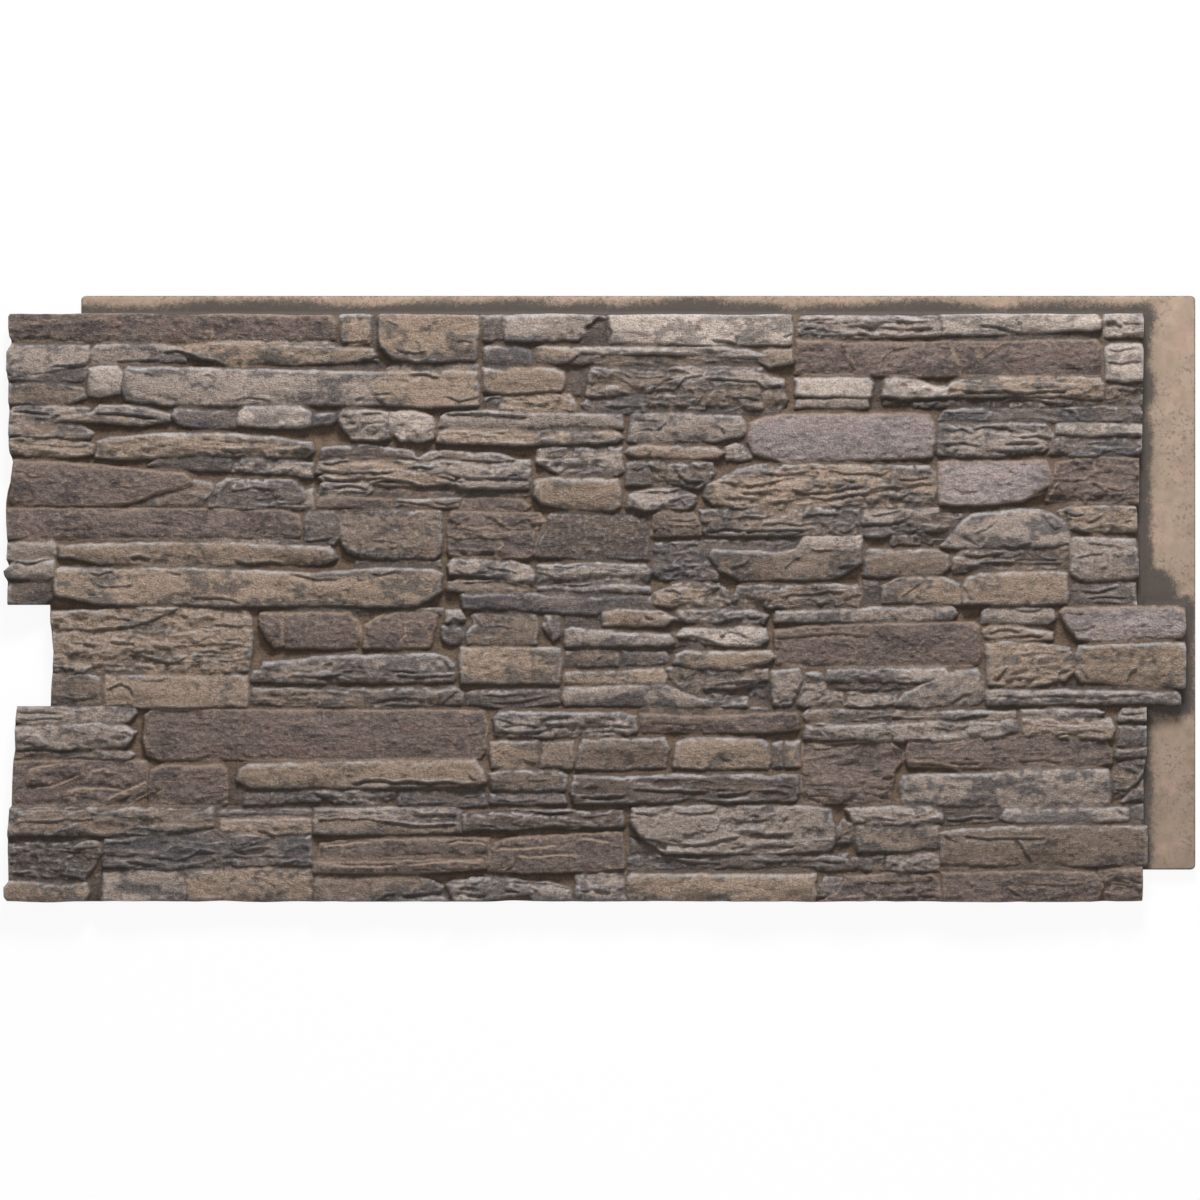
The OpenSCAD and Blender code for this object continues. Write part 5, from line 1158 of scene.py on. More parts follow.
@dataclass
class StoneFace:
    """The relief of the whole face and its paint, worked out on one even grid over the layout.

    In millimetres: cell is the grid's step, and margin and head_margin are what it covers beyond the face.
    Heights are pressed together above soft_top, within roll. Apart from a little roughness, no point lies
    deeper than fill under the mean of its surroundings over fill_reach, or about half of that in upright
    joints, nor than wide_fill under the mean over wide_reach. Bite scales the traced ledges, and a stone's
    middle bulges by camber of its thickness, up to camber_most.
    """

    cell: float = 0.8
    margin: float = 12.0
    head_margin: float = 22.0
    headroom: float = 0.86
    soft_top: float = 29.5
    roll: float = 1.5
    fill: float = 1.25
    fill_reach: float = 5.0
    wide_fill: float = 3.4
    wide_reach: float = 9.0
    bite: float = 1.45
    shade_reach: float = 4.0
    camber: float = 0.21
    camber_most: float = 2.8
    sponge: float = 0.8
    joint_cover: float = 0.85
    rows: list = field(default_factory=lambda: STONES)

    def __post_init__(self) -> None:
        """Lays the even grid out and works every stone into it."""
        self.xs = np.arange(-self.margin, PANEL_W + self.margin, self.cell)
        self.ys = np.arange(-self.margin, FACE_H + self.head_margin, self.cell)
        self.x, self.y = np.meshgrid(self.xs, self.ys)
        self.stones = [
            Stone(i, h, Tone(t), Texture(k), np.reshape(o, (-1, 2)).astype(float))
            for i, (h, t, k, *o) in enumerate(self.rows)
        ]
        self.z = np.full(self.x.shape, BED_Z)
        self.owner = np.full(self.x.shape, -1)
        self.inside = np.full(self.x.shape, -9.0)
        self.crest = np.zeros(self.x.shape)
        self.wobble_x = self.x + 1.3 * layered_noise(self.x / 11, self.y / 9, Seed.WOBBLE_X, 3)
        self.wobble_y = self.y + 1.3 * layered_noise(self.x / 14, self.y / 9, Seed.WOBBLE_Y, 3)
        rough = layered_noise(self.x / 9, self.y / 7, Seed.BED, 3)
        self.z += 0.5 * rough
        for stone in self.stones:
            self.lay(stone)
        for depth, width, *line in LEDGES:
            self.cut(self.bite * depth, width, np.reshape(line, (-1, 2)).astype(float))
        steep = [blurred(np.abs(g), 3) for g in np.gradient(blurred(self.z, 1), self.cell)]
        self.upright = smooth(0.42, 0.72, steep[1] / (steep[0] + steep[1] + 0.05))
        bed = blurred(self.z, self.fill_reach / self.cell) - self.fill * (1 - 0.45 * self.upright)
        bed = np.maximum(bed, blurred(self.z, self.wide_reach / self.cell) - self.wide_fill)
        self.z = np.maximum(self.z, bed + 0.4 * rough)
        self.paint()

    def lay(self, stone: Stone) -> None:
        """Works one stone into the grid, wherever its face is higher than what is there.

        The face falls in a round edge to its outline. Beyond it, the underside slopes on into the gap
        below, and the other sides drop steeply.
        """
        low, high = stone.outline.min(0) - stone.reach, stone.outline.max(0) + stone.reach
        win = self.window(low - (0, stone.under), high)
        d = depth_inside(self.wobble_x[win], self.wobble_y[win], stone.outline) + stone.grow
        x, y = self.x[win], self.y[win]
        thick = max(float(d.max()), 1.0)
        calm = min(1.0, 0.45 + thick / 22)
        level = BED_Z + (stone.height - BED_Z) * self.headroom
        up = np.clip((y - low[1]) / (high[1] - low[1]), 0, 1)
        across_tilt = 0.5 * value_noise(x / 60, 0 * x, Seed.BULGE + stone.number)
        bulge = min(self.camber * thick, self.camber_most) * (1 - (2 * up - 1.25 - across_tilt) ** 2)
        face = level + calm * stone.relief(x, y) + stone.lean(x, y) + bulge
        uneven = value_noise(x / 13, y / 13, Seed.EDGE + stone.number)
        edge = stone.edge * (0.55 + 0.9 * up) * (1 + 0.5 * uneven)
        edge = np.minimum(edge, 0.75 * thick)
        t = np.clip(1 - d / edge, 0, 1)
        drop = min(stone.drop, level - BED_Z - 0.5, 0.9 * thick)
        face = face - drop * (1 - np.sqrt(1 - np.minimum(t, 0.999) ** 2))
        slope = stone.under_steep + (stone.steep - stone.under_steep) * smooth(0.1, 0.5, up)
        face = np.where(d < 0, face + slope * d, face)
        over = face - self.soft_top
        face = np.where(over > 0, self.soft_top + self.roll * np.tanh(over / self.roll), face)
        better = face > self.z[win]
        self.z[win] = np.where(better, face, self.z[win])
        self.owner[win] = np.where(better, stone.number, self.owner[win])
        self.inside[win] = np.where(better, d, self.inside[win])

    def window(self, low: np.ndarray, high: np.ndarray) -> tuple:
        """The part of the grid that holds a rectangle of the layout."""
        c0, c1 = (int((v + self.margin) / self.cell) for v in (low[0], high[0]))
        r0, r1 = (int((v + self.margin) / self.cell) for v in (low[1], high[1]))
        return slice(max(r0, 0), r1 + 2), slice(max(c0, 0), c1 + 2)

    def cut(self, depth: float, width: float, line: np.ndarray) -> None:
        """Cuts one ledge or crack: a sharp drop on the line's right side that climbs back over its width.

        Args:
            depth: Depth of the drop, in millimetres.
            width: Distance over which the ground climbs back.
            line: Points of the line, one in each row.
        """
        win = self.window(line.min(0) - width - 3, line.max(0) + width + 3)
        d, end = beside_line(self.wobble_x[win], self.wobble_y[win], line)
        fade = smooth(0, 7, end)
        fall = smooth(-0.7, 0.7, d) * np.clip(1 - np.maximum(d, 0) / width, 0, 1) ** 1.3
        lip = 0.22 * smooth(-4, -0.6, d) * (d < 0)
        near = np.where(np.abs(d) < width + 3, 1.0, 0.0)
        self.z[win] = np.maximum(self.z[win] + depth * fade * near * (lip - fall), BED_Z - 1)
        # The line along each ledge's lip: tan veins on plum stones, and a faint painted highlight on the
        # others.
        self.crest[win] = np.maximum(self.crest[win], fade * np.exp(-((d + 0.5) / 1.0) ** 2))

    def paint(self) -> None:
        """Paint at each grid point, in linear light: the coats, the painted shade, the dry brush and
        highlight.
        """
        on = self.owner >= 0
        who = np.maximum(self.owner, 0)
        plum = np.array([s.tone in (Tone.PLUM, Tone.MAUVE) for s in self.stones])[who]
        tight = self.z - blurred(self.z, 1.5 / self.cell)
        calm = blurred(self.z, 1)
        colour = self.with_painted_shade(self.coats(on, who, plum), on, plum, tight, calm)
        self.colour = np.clip(self.with_brush_and_highlight(colour, plum, tight, calm), 0.004, 0.9)

    def coats(self, on: np.ndarray, who: np.ndarray, plum: np.ndarray) -> np.ndarray:
        """The coats of the stones and of the joints between them.

        The second coat is sponged over the main one in long patches, and more along the stones' edges. Each
        stone is a little lighter or darker than its tone, with a fine mottle, dark pits in some places and
        a rusty blush in others.

        Args:
            on: Whether a stone owns the grid point.
            who: Number of that stone, or 0.
            plum: Whether its tone is plum or mauve.

        Returns:
            The colours.
        """
        x, y = self.x, self.y
        tones = list(COATS)
        first, second = (np.array([linear(COATS[t][k]) for t in tones]) for k in (0, 1))
        pick = np.array([tones.index(s.tone) for s in self.stones])[who]
        own = np.array([lattice(np.array(s.number), np.array(4), Seed.OWN) - 0.5 for s in self.stones])[who]
        clean = np.array([0.14 * (s.tone in (Tone.TAN, Tone.PALE)) for s in self.stones])[who]
        patch = layered_noise(x / 34, y / 15, Seed.PATCHES, 4)
        patch = patch + 0.55 * layered_noise(x / 6, y / 5, Seed.PATCH_EDGES, 3)
        patch = patch + 0.30 * (1 - smooth(1, 9, self.inside)) - 0.13
        patch = smooth(-0.12, 0.34, patch + 0.35 * own - clean)[..., None]
        colour = first[pick] * (1 - self.sponge * patch) + second[pick] * self.sponge * patch
        mottle = layered_noise(x / 3, y / 2.6, Seed.MOTTLE, 2)
        colour = colour * (1 + 0.2 * own + 0.2 * mottle)[..., None]
        pits = smooth(0.3, 0.55, layered_noise(x / 4.5, y / 3.6, Seed.PITS, 2))
        pits = pits * smooth(-0.1, 0.35, layered_noise(x / 45, y / 20, Seed.PIT_FIELDS, 2))
        colour = colour * (1 - (0.45 - 0.25 * plum) * pits)[..., None]
        blush = smooth(0.2, 0.6, layered_noise(x / 22, y / 9, Seed.BLUSH, 3)) * (0.25 + 0.2 * plum)
        colour = colour * (1 + blush[..., None] * (np.array(BLUSH) - 1))
        soft = (1 - smooth(-0.6, 1.6, self.inside))[..., None]
        joint = linear(JOINT) * (1 + 0.25 * layered_noise(x / 8, y / 8, Seed.JOINTS, 3))[..., None]
        colour = np.where(on[..., None], colour, joint)
        return colour * (1 - self.joint_cover * soft) + joint * self.joint_cover * soft

    def with_painted_shade(self, colour: np.ndarray, on: np.ndarray, plum: np.ndarray, tight: np.ndarray,
               calm: np.ndarray) -> np.ndarray:
        """Lays painted shade in what lies low and in fine grooves, and a painted shadow under ledges.

        Args:
            colour: The coats.
            on: Whether a stone owns the grid point.
            plum: Whether its tone is plum or mauve.
            tight: Height over the close surroundings, in millimetres.
            calm: The relief, slightly smoothed.

        Returns:
            The colours with the painted shade.
        """
        wide = self.z - blurred(self.z, 6 / self.cell)
        # Painted shadow under ledges: how much higher the surface is a little way above.
        above = np.roll(calm, -int(round(self.shade_reach / self.cell)), axis=0) - calm
        # Painted shade in broad hollows and fine grooves, less in upright joints and between stones.
        painted_shade = smooth(-0.6, 4.0, -wide) * 0.34 + smooth(0.08, 1.1, -tight) * (0.24 - 0.12 * plum)
        painted_shade = painted_shade + smooth(0.6, 5.0, above) * 0.5
        painted_shade = np.clip(painted_shade * (1 - 0.55 * self.upright) * np.where(on, 1, 0.6), 0, 0.8)[..., None]
        return colour * (1 - painted_shade) + linear(PAINTED_SHADE) * painted_shade

    def with_brush_and_highlight(self, colour: np.ndarray, plum: np.ndarray, tight: np.ndarray,
                calm: np.ndarray) -> np.ndarray:
        """Catches what stands out with a light dry brush, and lays a painted highlight on the upper edges.

        On plum and mauve stones it is fainter and tan, and lies in veins along the ledges, in a line near
        the border and in specks.

        Args:
            colour: The colours with the painted shade.
            plum: Whether the stone's tone is plum or mauve.
            tight: Height over the close surroundings, in millimetres.
            calm: The relief, slightly smoothed.

        Returns:
            The colours with the dry brush and painted highlight.
        """
        slope = np.gradient(calm, self.cell, axis=0)
        # Painted highlight on the upper edges, which face the light; below it, the dry brush on what stands
        # out.
        rim = smooth(0.15, 0.9, -slope) * smooth(0.05, 0.45, tight)
        brush = smooth(0.08, 0.7, tight) * (0.34 - 0.24 * plum) + rim * 0.45
        brush = brush * (0.8 + 0.8 * layered_noise(self.x / 9, self.y / 4, Seed.BRUSH, 3))
        speck = smooth(0.12, 0.46, layered_noise(self.x / 3.2, self.y / 2.4, Seed.SPECKS, 2))
        speck = 0.62 * speck * smooth(0, 0.5, tight)
        border = smooth(0.4, 1.2, self.inside) * (1 - smooth(2.0, 3.6, self.inside))
        vein = np.maximum(np.maximum(0.95 * self.crest, 0.45 * border), speck) * plum
        # On the other stones, a faint painted highlight lies along the ledges' lips.
        brush = np.clip(np.maximum(brush, vein + 0.12 * self.crest), 0, 0.8)[..., None]
        light = np.where(plum[..., None], linear(VEIN), linear(BRUSH_AND_HIGHLIGHT))
        return colour * (1 - brush) + light * brush

    def sample(self, grid: np.ndarray, x: np.ndarray, y: np.ndarray) -> np.ndarray:
        """A value of the grid at any point, blended between the four grid points round it."""
        gx = np.clip((x + self.margin) / self.cell, 0, len(self.xs) - 1.001)
        gy = np.clip((y + self.margin) / self.cell, 0, len(self.ys) - 1.001)
        i, j = gx.astype(int), gy.astype(int)
        a, b = gx - i, gy - j
        if grid.ndim == 3:
            a, b = a[..., None], b[..., None]
        low = grid[j, i] * (1 - a) + grid[j, i + 1] * a
        high = grid[j + 1, i] * (1 - a) + grid[j + 1, i + 1] * a
        return low * (1 - b) + high * b


def closed_slab(name: str, x: np.ndarray, y: np.ndarray, z: np.ndarray, floor_z: float) -> bpy.types.Object:
    """A closed slab under a grid of points: the grid, upright sides from its rim, and one flat face below.

    Args:
        name: Name of the piece.
        x: Grid of positions across, in millimetres of the layout.
        y: Grid of positions along, likewise.
        z: Grid of heights above the back, in millimetres.
        floor_z: Height of the flat face below.

    Returns:
        The new object, at the origin, with smooth faces and sharp rims.
    """
    n, m = x.shape
    top = np.stack([x - PANEL_W / 2, y - PANEL_H / 2, z], -1).reshape(-1, 3)
    index = np.arange(n * m).reshape(n, m)
    rim = np.concatenate([index[0, :-1], index[:-1, -1], index[-1, :0:-1], index[:0:-1, 0]])
    low = top[rim].copy()
    low[:, 2] = floor_z
    points = np.concatenate([top, low]) * MM
    base = n * m + np.arange(len(rim))
    quads = np.stack([index[:-1, :-1], index[:-1, 1:], index[1:, 1:], index[1:, :-1]], -1).reshape(-1, 4)
    sides = np.stack([rim, base, np.roll(base, -1), np.roll(rim, -1)], -1)
    loops = np.concatenate([quads.ravel(), sides.ravel(), base[::-1]])
    counts = np.concatenate([np.full(len(quads) + len(sides), 4), [len(base)]])
    mesh = bpy.data.meshes.new(name)
    mesh.vertices.add(len(points))
    mesh.vertices.foreach_set("co", points.astype(np.float32).ravel())
    mesh.loops.add(len(loops))
    mesh.loops.foreach_set("vertex_index", loops.astype(np.int32))
    mesh.polygons.add(len(counts))
    mesh.polygons.foreach_set("loop_start", (np.cumsum(counts) - counts).astype(np.int32))
    mesh.update(calc_edges=True)
    mesh.polygons.foreach_set("use_smooth", np.ones(len(counts), bool))
    ends = np.zeros(len(mesh.edges) * 2, np.int32)
    mesh.edges.foreach_get("vertices", ends)
    ends = ends.reshape(-1, 2)
    on_rim = np.zeros(len(points), bool)
    on_rim[rim] = True
    on_base = np.arange(len(points)) >= n * m
    sharp = on_rim[ends].all(1) | on_base[ends].all(1)
    mark = mesh.attributes.new("sharp_edge", "BOOLEAN", "EDGE")
    mark.data.foreach_set("value", sharp)
    mesh.validate()
    piece = bpy.data.objects.new(name, mesh)
    bpy.context.scene.collection.objects.link(piece)
    return piece


def give_colours(piece: bpy.types.Object, name: str, top: np.ndarray, below: np.ndarray) -> None:
    """Writes a colour to each point of a slab: the grid's own on top, and one colour on the rim below.

    Args:
        piece: The slab.
        name: Name of its colour layer.
        top: Colours of the grid, with or without a fourth channel, which is 1 where it isn't given.
        below: Colour of the rim below.
    """
    count = len(piece.data.vertices)
    flat = np.ones((count, 4), np.float32)
    flat[:, :3] = below
    flat[: top.shape[0] * top.shape[1], : top.shape[2]] = top.reshape(-1, top.shape[2])
    layer = piece.data.color_attributes.new(name, "FLOAT_COLOR", "POINT")
    layer.data.foreach_set("color", flat.ravel())


class Socket:
    """A value in a material, on which plain arithmetic adds Math nodes."""

    def __init__(self, tree: "Shader", link: object) -> None:
        """Keeps the material's tree and the output or number that this value is."""
        self.tree, self.link = tree, link

    def _math(self, operation: str, a: object, b: object = 0.0) -> "Socket":
        """One Math node over two values."""
        return self.tree.node("ShaderNodeMath", {"operation": operation}, {0: a, 1: b})

    def __add__(self, other: object) -> "Socket":
        """This value plus another."""
        return self._math("ADD", self, other)

    __radd__ = __add__

    def __mul__(self, other: object) -> "Socket":
        """This value times another."""
        return self._math("MULTIPLY", self, other)

    __rmul__ = __mul__

    def __sub__(self, other: object) -> "Socket":
        """This value less another."""
        return self._math("SUBTRACT", self, other)

    def band(self, low: float, high: float, to_low: float = 0.0, to_high: float = 1.0) -> "Socket":
        """This value taken from the range low to high into to_low to to_high, and held at its ends."""
        settings = {"interpolation_type": "SMOOTHSTEP"}
        values = {"Value": self, "From Min": low, "From Max": high, "To Min": to_low, "To Max": to_high}
        return self.tree.node("ShaderNodeMapRange", settings, values)


class Shader:
    """A node material with one plain surface shader, built up from expressions."""

    def __init__(self, name: str) -> None:
        """Makes the material and finds its surface shader."""
        self.material = bpy.data.materials.new(name)
        self.material.use_nodes = True
        self.nodes = self.material.node_tree.nodes
        self.links = self.material.node_tree.links
        self.surface = next(n for n in self.nodes if n.type == "BSDF_PRINCIPLED")
        self.output = next(n for n in self.nodes if n.type == "OUTPUT_MATERIAL")

    def put(self, socket: bpy.types.NodeSocket, value: object) -> None:
        """Links a value to a socket, or writes a number or colour on it."""
        if isinstance(value, Socket):
            self.links.new(value.link, socket)
        else:
            socket.default_value = value

    def node(self, kind: str, settings: dict, values: dict, out: object = 0) -> Socket:
        """Adds any node: its settings first, then the values or links of its sockets.

        Args:
            kind: Blender's name for the node's type.
            settings: The node's own settings, such as a Math node's operation.
            values: A value or Socket for each input, by name or place.
            out: Name or place of the output that is wanted.

        Returns:
            That output as a Socket.
        """
        made = self.nodes.new(kind)
        for key, value in settings.items():
            setattr(made, key, value)
        for key, value in values.items():
            self.put(made.inputs[key], value)
        return Socket(self, made.outputs[out])

    def place(self) -> Socket:
        """Object coordinates of the piece, in metres."""
        return self.node("ShaderNodeTexCoord", {}, {}, "Object")

    def noise(self, scale: float, detail: float = 3.0, rough: float = 0.55, at: object = None) -> Socket:
        """Noise over the piece's own coordinates, with scale in waves for each metre."""
        values = {"Vector": at or self.place(), "Scale": scale, "Detail": detail, "Roughness": rough}
        return self.node("ShaderNodeTexNoise", {}, values, "Fac")

    def mix(self, factor: object, a: object, b: object, blend: str = "MIX") -> Socket:
        """A colour between a and b, or one laid on the other in the way that blend names."""
        settings = {"data_type": "RGBA", "blend_type": blend}
        made = self.nodes.new("ShaderNodeMix")
        for key, value in settings.items():
            setattr(made, key, value)
        sockets = {s.identifier: s for s in made.inputs}
        self.put(sockets["Factor_Float"], factor)
        self.put(sockets["A_Color"], a)
        self.put(sockets["B_Color"], b)
        return Socket(self, next(s for s in made.outputs if s.identifier == "Result_Color"))

    def dress(self, **inputs: object) -> bpy.types.Material:
        """Sets the surface shader's inputs by name, with _ for a space, and gives the material back."""
        for key, value in inputs.items():
            self.put(self.surface.inputs[key.replace("_", " ")], value)
        return self.material


@dataclass(frozen=True)
class StonePaint:
    """Flat paint over moulded stone: the painted colours, broken up by fine speckle and grain."""

    name: str = "stone_paint"
    attribute: str = PAINT_LAYER

    def material(self) -> bpy.types.Material:
        """Builds the material.

        The colour is the painted attribute, made darker or lighter by a fine speckle and a softer one. The
        bump adds a grain of a millimetre or two, some of it drawn out along the courses.
        """
        s = Shader(self.name)
        paint = s.node("ShaderNodeAttribute", {"attribute_name": self.attribute}, {}, "Color")
        speckle = s.noise(480, 5, 0.72)
        cloud = s.noise(160, 3, 0.6)
        along = s.node("ShaderNodeMapping", {}, {"Vector": s.place(), "Scale": (0.6, 1.0, 1.0)})
        drag = s.noise(620, 3, 0.65, along)
        tint = speckle * 2.0 + cloud * 0.60 - 0.30
        grey = s.node("ShaderNodeCombineColor", {}, {0: tint, 1: tint, 2: tint})
        colour = s.mix(1.0, paint, grey, "MULTIPLY")
        height = 0.6 * speckle + 0.9 * drag + 0.6 * cloud
        bump = s.node("ShaderNodeBump", {}, {"Strength": 0.9, "Distance": 0.0030, "Height": height})
        rough = 0.7 + 0.25 * cloud
        return s.dress(Base_Color=colour, Roughness=rough, Normal=bump, Specular_IOR_Level=0.35)


@dataclass(frozen=True)
class FlangePaint:
    """The bare base coat on the flange: warm tan, speckled, with hairline cracks and painted shade.

    The painted shade is written in 0 to 255, and the clouds' pink, the specks and the cracks in linear
    light.
    """

    name: str = "flange_paint"
    attribute: str = PAINT_LAYER
    painted_shade: tuple = (67, 62, 59)
    pink: tuple = (0.44, 0.285, 0.235, 1)
    speck: tuple = (0.11, 0.09, 0.076, 1)
    crack: tuple = (0.11, 0.088, 0.075, 1)

    def material(self) -> bpy.types.Material:
        """Builds the material.

        The colour is the painted attribute. Soft clouds turn it pinker, and specks and the lines between the
        cells of a warped pattern turn it dark where a broad noise lets them. The attribute's alpha is how
        much painted shade lies there, and two grains make the edge of that shade ragged.
        """
        s = Shader(self.name)
        paint = s.node("ShaderNodeAttribute", {"attribute_name": self.attribute}, {}, "Color")
        shade = s.node("ShaderNodeAttribute", {"attribute_name": self.attribute}, {}, "Alpha")
        cloud = s.noise(22, 4, 0.6)
        grit = s.noise(520, 4, 0.7)
        blush = s.mix(cloud.band(0.51, 0.67, 0, 0.45), paint, self.pink)
        spots = s.noise(240, 4, 0.7).band(0.52, 0.63) * s.noise(26, 4, 0.65).band(0.38, 0.56)
        cells = s.node("ShaderNodeTexVoronoi", {"feature": "DISTANCE_TO_EDGE"},
                       {"Vector": s.place(), "Scale": 60.0}, "Distance")
        warped = cells + (s.noise(240, 4) - 0.5) * 0.16
        cracks = warped.band(0.004, 0.022, 1, 0) * s.noise(30, 3, 0.6).band(0.55, 0.66)
        dark = s.mix(spots * 0.6, blush, self.speck)
        lined = s.mix(cracks * 0.55, dark, self.crack)
        # Painted shade beside the stones, with a ragged edge.
        ragged = (shade + (grit - 0.5) * 1.0 + (s.noise(190, 4, 0.75) - 0.5) * 1.2).band(0.08, 0.92)
        colour = s.mix(ragged * 0.92, lined, (*linear(self.painted_shade), 1))
        fine = s.noise(900, 3, 0.6)
        height = fine * 0.4 + s.noise(180, 3, 0.6) - cracks * 0.4
        bump = s.node("ShaderNodeBump", {}, {"Strength": 0.35, "Distance": 0.0008, "Height": height})
        rough = 0.68 + 0.2 * cloud
        return s.dress(Base_Color=colour, Roughness=rough, Normal=bump, Specular_IOR_Level=0.35)


@dataclass
class StoneBands:
    """The stone face in bands from joint to joint, so that none is too heavy.

    In millimetres: the underside lies lap_clear above the back, and the relief at least least_relief over
    it. The face's foot and head lie foot_in and head_in inside the layout, and wander by up to foot_wave and
    head_wave, in waves of about wave_length.
    """

    face: StoneFace
    across: int = 740
    along: int = 100
    lap_clear: float = 10.5
    least_relief: float = 0.6
    foot_in: float = 1.2
    foot_wave: float = 1.2
    head_in: float = 1.8
    head_wave: float = 1.6
    wave_length: float = 45.0

    def edges(self, y: np.ndarray, key: bool) -> tuple:
        """Left and right end of the face at each height.

        Args:
            y: Heights in the layout, in millimetres.
            key: Whether they are in the band that has the key and the notch.

        Returns:
            The left ends and the right ends.
        """
        ends = []
        for table in (LEFT_EDGE, RIGHT_EDGE):
            ys, xs = np.array(table, float).T
            at_key = (ys >= BAND_LEVELS[KEY_BAND]) & (ys <= BAND_LEVELS[KEY_BAND + 1])
            keep = at_key if key else ~at_key
            ends.append(np.interp(y, ys[keep], xs[keep]))
        return tuple(ends)

    def band(self, k: int) -> bpy.types.Object:
        """Band k: its grid runs from joint to joint and from end to end, and takes the relief's height."""
        u = np.linspace(0, 1, self.across + 1)[None, :]
        v = np.linspace(0, 1, self.along + 1)[:, None]
        low, high = float(BAND_LEVELS[k]), float(BAND_LEVELS[k + 1])
        waves = (u * FACE_W + 0 * v) / self.wave_length
        if k == 0:
            low = low + self.foot_in + self.foot_wave * layered_noise(waves, 0 * waves, Seed.FOOT_LINE, 3)
        if k == len(BAND_LEVELS) - 2:
            wander = layered_noise(waves, 0 * waves, Seed.HEAD_LINE, 3)
            high = high - self.head_in + self.head_wave * wander
        y = low + v * (high - low) + 0 * u
        left, right = self.edges(y, k == KEY_BAND)
        x = left + u * (right - left)
        z = real_height(self.face.sample(self.face.z, x, y))
        z = np.clip(z, self.lap_clear + self.least_relief, PANEL_T)
        piece = closed_slab(f"stone_band_{k + 1}", x, y, z, self.lap_clear)
        give_colours(piece, PAINT_LAYER, self.face.sample(self.face.colour, x, y), linear(JOINT) * 0.8)
        return piece

    def build(self) -> list:
        """All bands, from the foot course to the head course."""
        return [self.band(k) for k in range(len(BAND_LEVELS) - 1)]


@dataclass
class FlangePlate:
    """The flat plate at the back with its open flange: a grid over a plate with round corners.

    In millimetres of the layout: the plate runs from left and foot to the panel's right and head. The stones
    over it end at stones_right and stones_head, and key_box is the right, the foot and the head of the key.
    The plate rises by rise in a fillet to the stones, and falls by round_edge at its rim.
    """

    left: float = 80.0
    foot: float = 34.0
    thick: float = 9.5
    corner: float = 5.0
    rise: float = 1.6
    round_edge: float = 0.8
    stones_right: float = 1190.0
    stones_head: float = FACE_H - 2
    key_box: tuple = (1234.0, 205.0, 310.0)
    # Middle of the painted shade in the corner beside the key.
    key_corner_shade: tuple = (1196.0, 326.0)

    def build(self) -> bpy.types.Object:
        """The plate, with its fillet to the stones, its rounded rim and its paint."""
        x, y, rim = self.grid()
        away = self.beside_stones(x, y)
        z = self.thick + self.rise * smooth(3.5, -0.5, away)
        z = z - self.round_edge * (1 - smooth(0, 1.4, rim))
        piece = closed_slab("flange_plate", x, y, z, 0.0)
        give_colours(piece, PAINT_LAYER, self.paint(x, y, away, rim), linear(BARE_SIDES))
        return piece

    def grid(self) -> tuple:
        """The plate's grid, finer at the rim and beside the stones, its end rows squeezed to round corners.

        Returns:
            The positions across and along, and the distances from the rim.
        """
        x_lines = np.concatenate([
            self.left + RIM_STEPS, np.linspace(95, 1165, 54),
            np.arange(1172, 1239, 1.5), PANEL_W - RIM_STEPS[::-1],
        ])
        y_lines = np.concatenate([
            self.foot + RIM_STEPS, np.arange(45, 600, 3.0),
            np.arange(602, 629, 1.5), PANEL_H - RIM_STEPS[::-1],
        ])
        x, y = np.meshgrid(x_lines, y_lines)
        end = np.minimum(y - self.foot, PANEL_H - y)
        bite = np.where(end < self.corner, self.corner - np.sqrt(np.maximum(
            self.corner ** 2 - (self.corner - end) ** 2, 0)), 0)
        mid = (self.left + PANEL_W) / 2
        half = (PANEL_W - self.left) / 2
        x = mid + (x - mid) * (half - bite) / half
        return x, y, np.minimum(half - bite - np.abs(x - mid), end)

    def paint(self, x: np.ndarray, y: np.ndarray, away: np.ndarray, rim: np.ndarray) -> np.ndarray:
        """The base coat in linear light, and as a fourth channel how much painted shade lies on it.

        The coat is mottled, and lighter towards the head. The painted shade lies in a ragged band beside the
        stones, wider at the head, in the corner beside the key, and thinly along the rim.

        Args:
            x: Positions across, in millimetres of the layout.
            y: Positions along, likewise.
            away: Distances from the stones.
            rim: Distances from the plate's rim.

        Returns:
            The four channels.
        """
        light = 0.83 + 0.14 * smooth(60, 420, y) + 0.12 * smooth(590, 616, y)
        mottle = 0.2 * layered_noise(x / 26, y / 26, Seed.FLANGE_CLOUDS, 3)
        mottle = mottle + 0.16 * layered_noise(x / 7, y / 7, Seed.FLANGE_MOTTLE, 3)
        coat = linear(BASE_COAT) * light[..., None] * (1 + mottle)[..., None]
        uneven = layered_noise(x / 36, y / 30, Seed.FLANGE_BAND, 3)
        # Painted shade: a band beside the stones and at the head, the corner beside the key, and the rim.
        side_band = 1 - smooth(2, 18, away + 5 * uneven)
        head_band = 1 - smooth(3, 22, away + 9 * layered_noise(x / 60, y / 60, Seed.FLANGE_HEAD, 2))
        at_head = smooth(604, 612, y)
        key_corner_shade = np.hypot((x - self.key_corner_shade[0]) / 1.3, y - self.key_corner_shade[1])
        key_corner_shade = 1 - smooth(16, 30, key_corner_shade + 9 * uneven)
        rim_shade = (1 - smooth(0.3, 2.4, rim + 0.6 * uneven)) * 0.55
        band = side_band * (1 - at_head) + head_band * at_head
        shade = np.maximum(band, np.maximum(key_corner_shade, rim_shade))
        return np.concatenate([coat, shade[..., None]], -1)

    def beside_stones(self, x: np.ndarray, y: np.ndarray) -> np.ndarray:
        """Distance from the edge of the stone face, negative under it: from its body or from its key."""
        body = box_distance(x, y, self.stones_right, -math.inf, self.stones_head)
        return np.minimum(body, box_distance(x, y, *self.key_box))


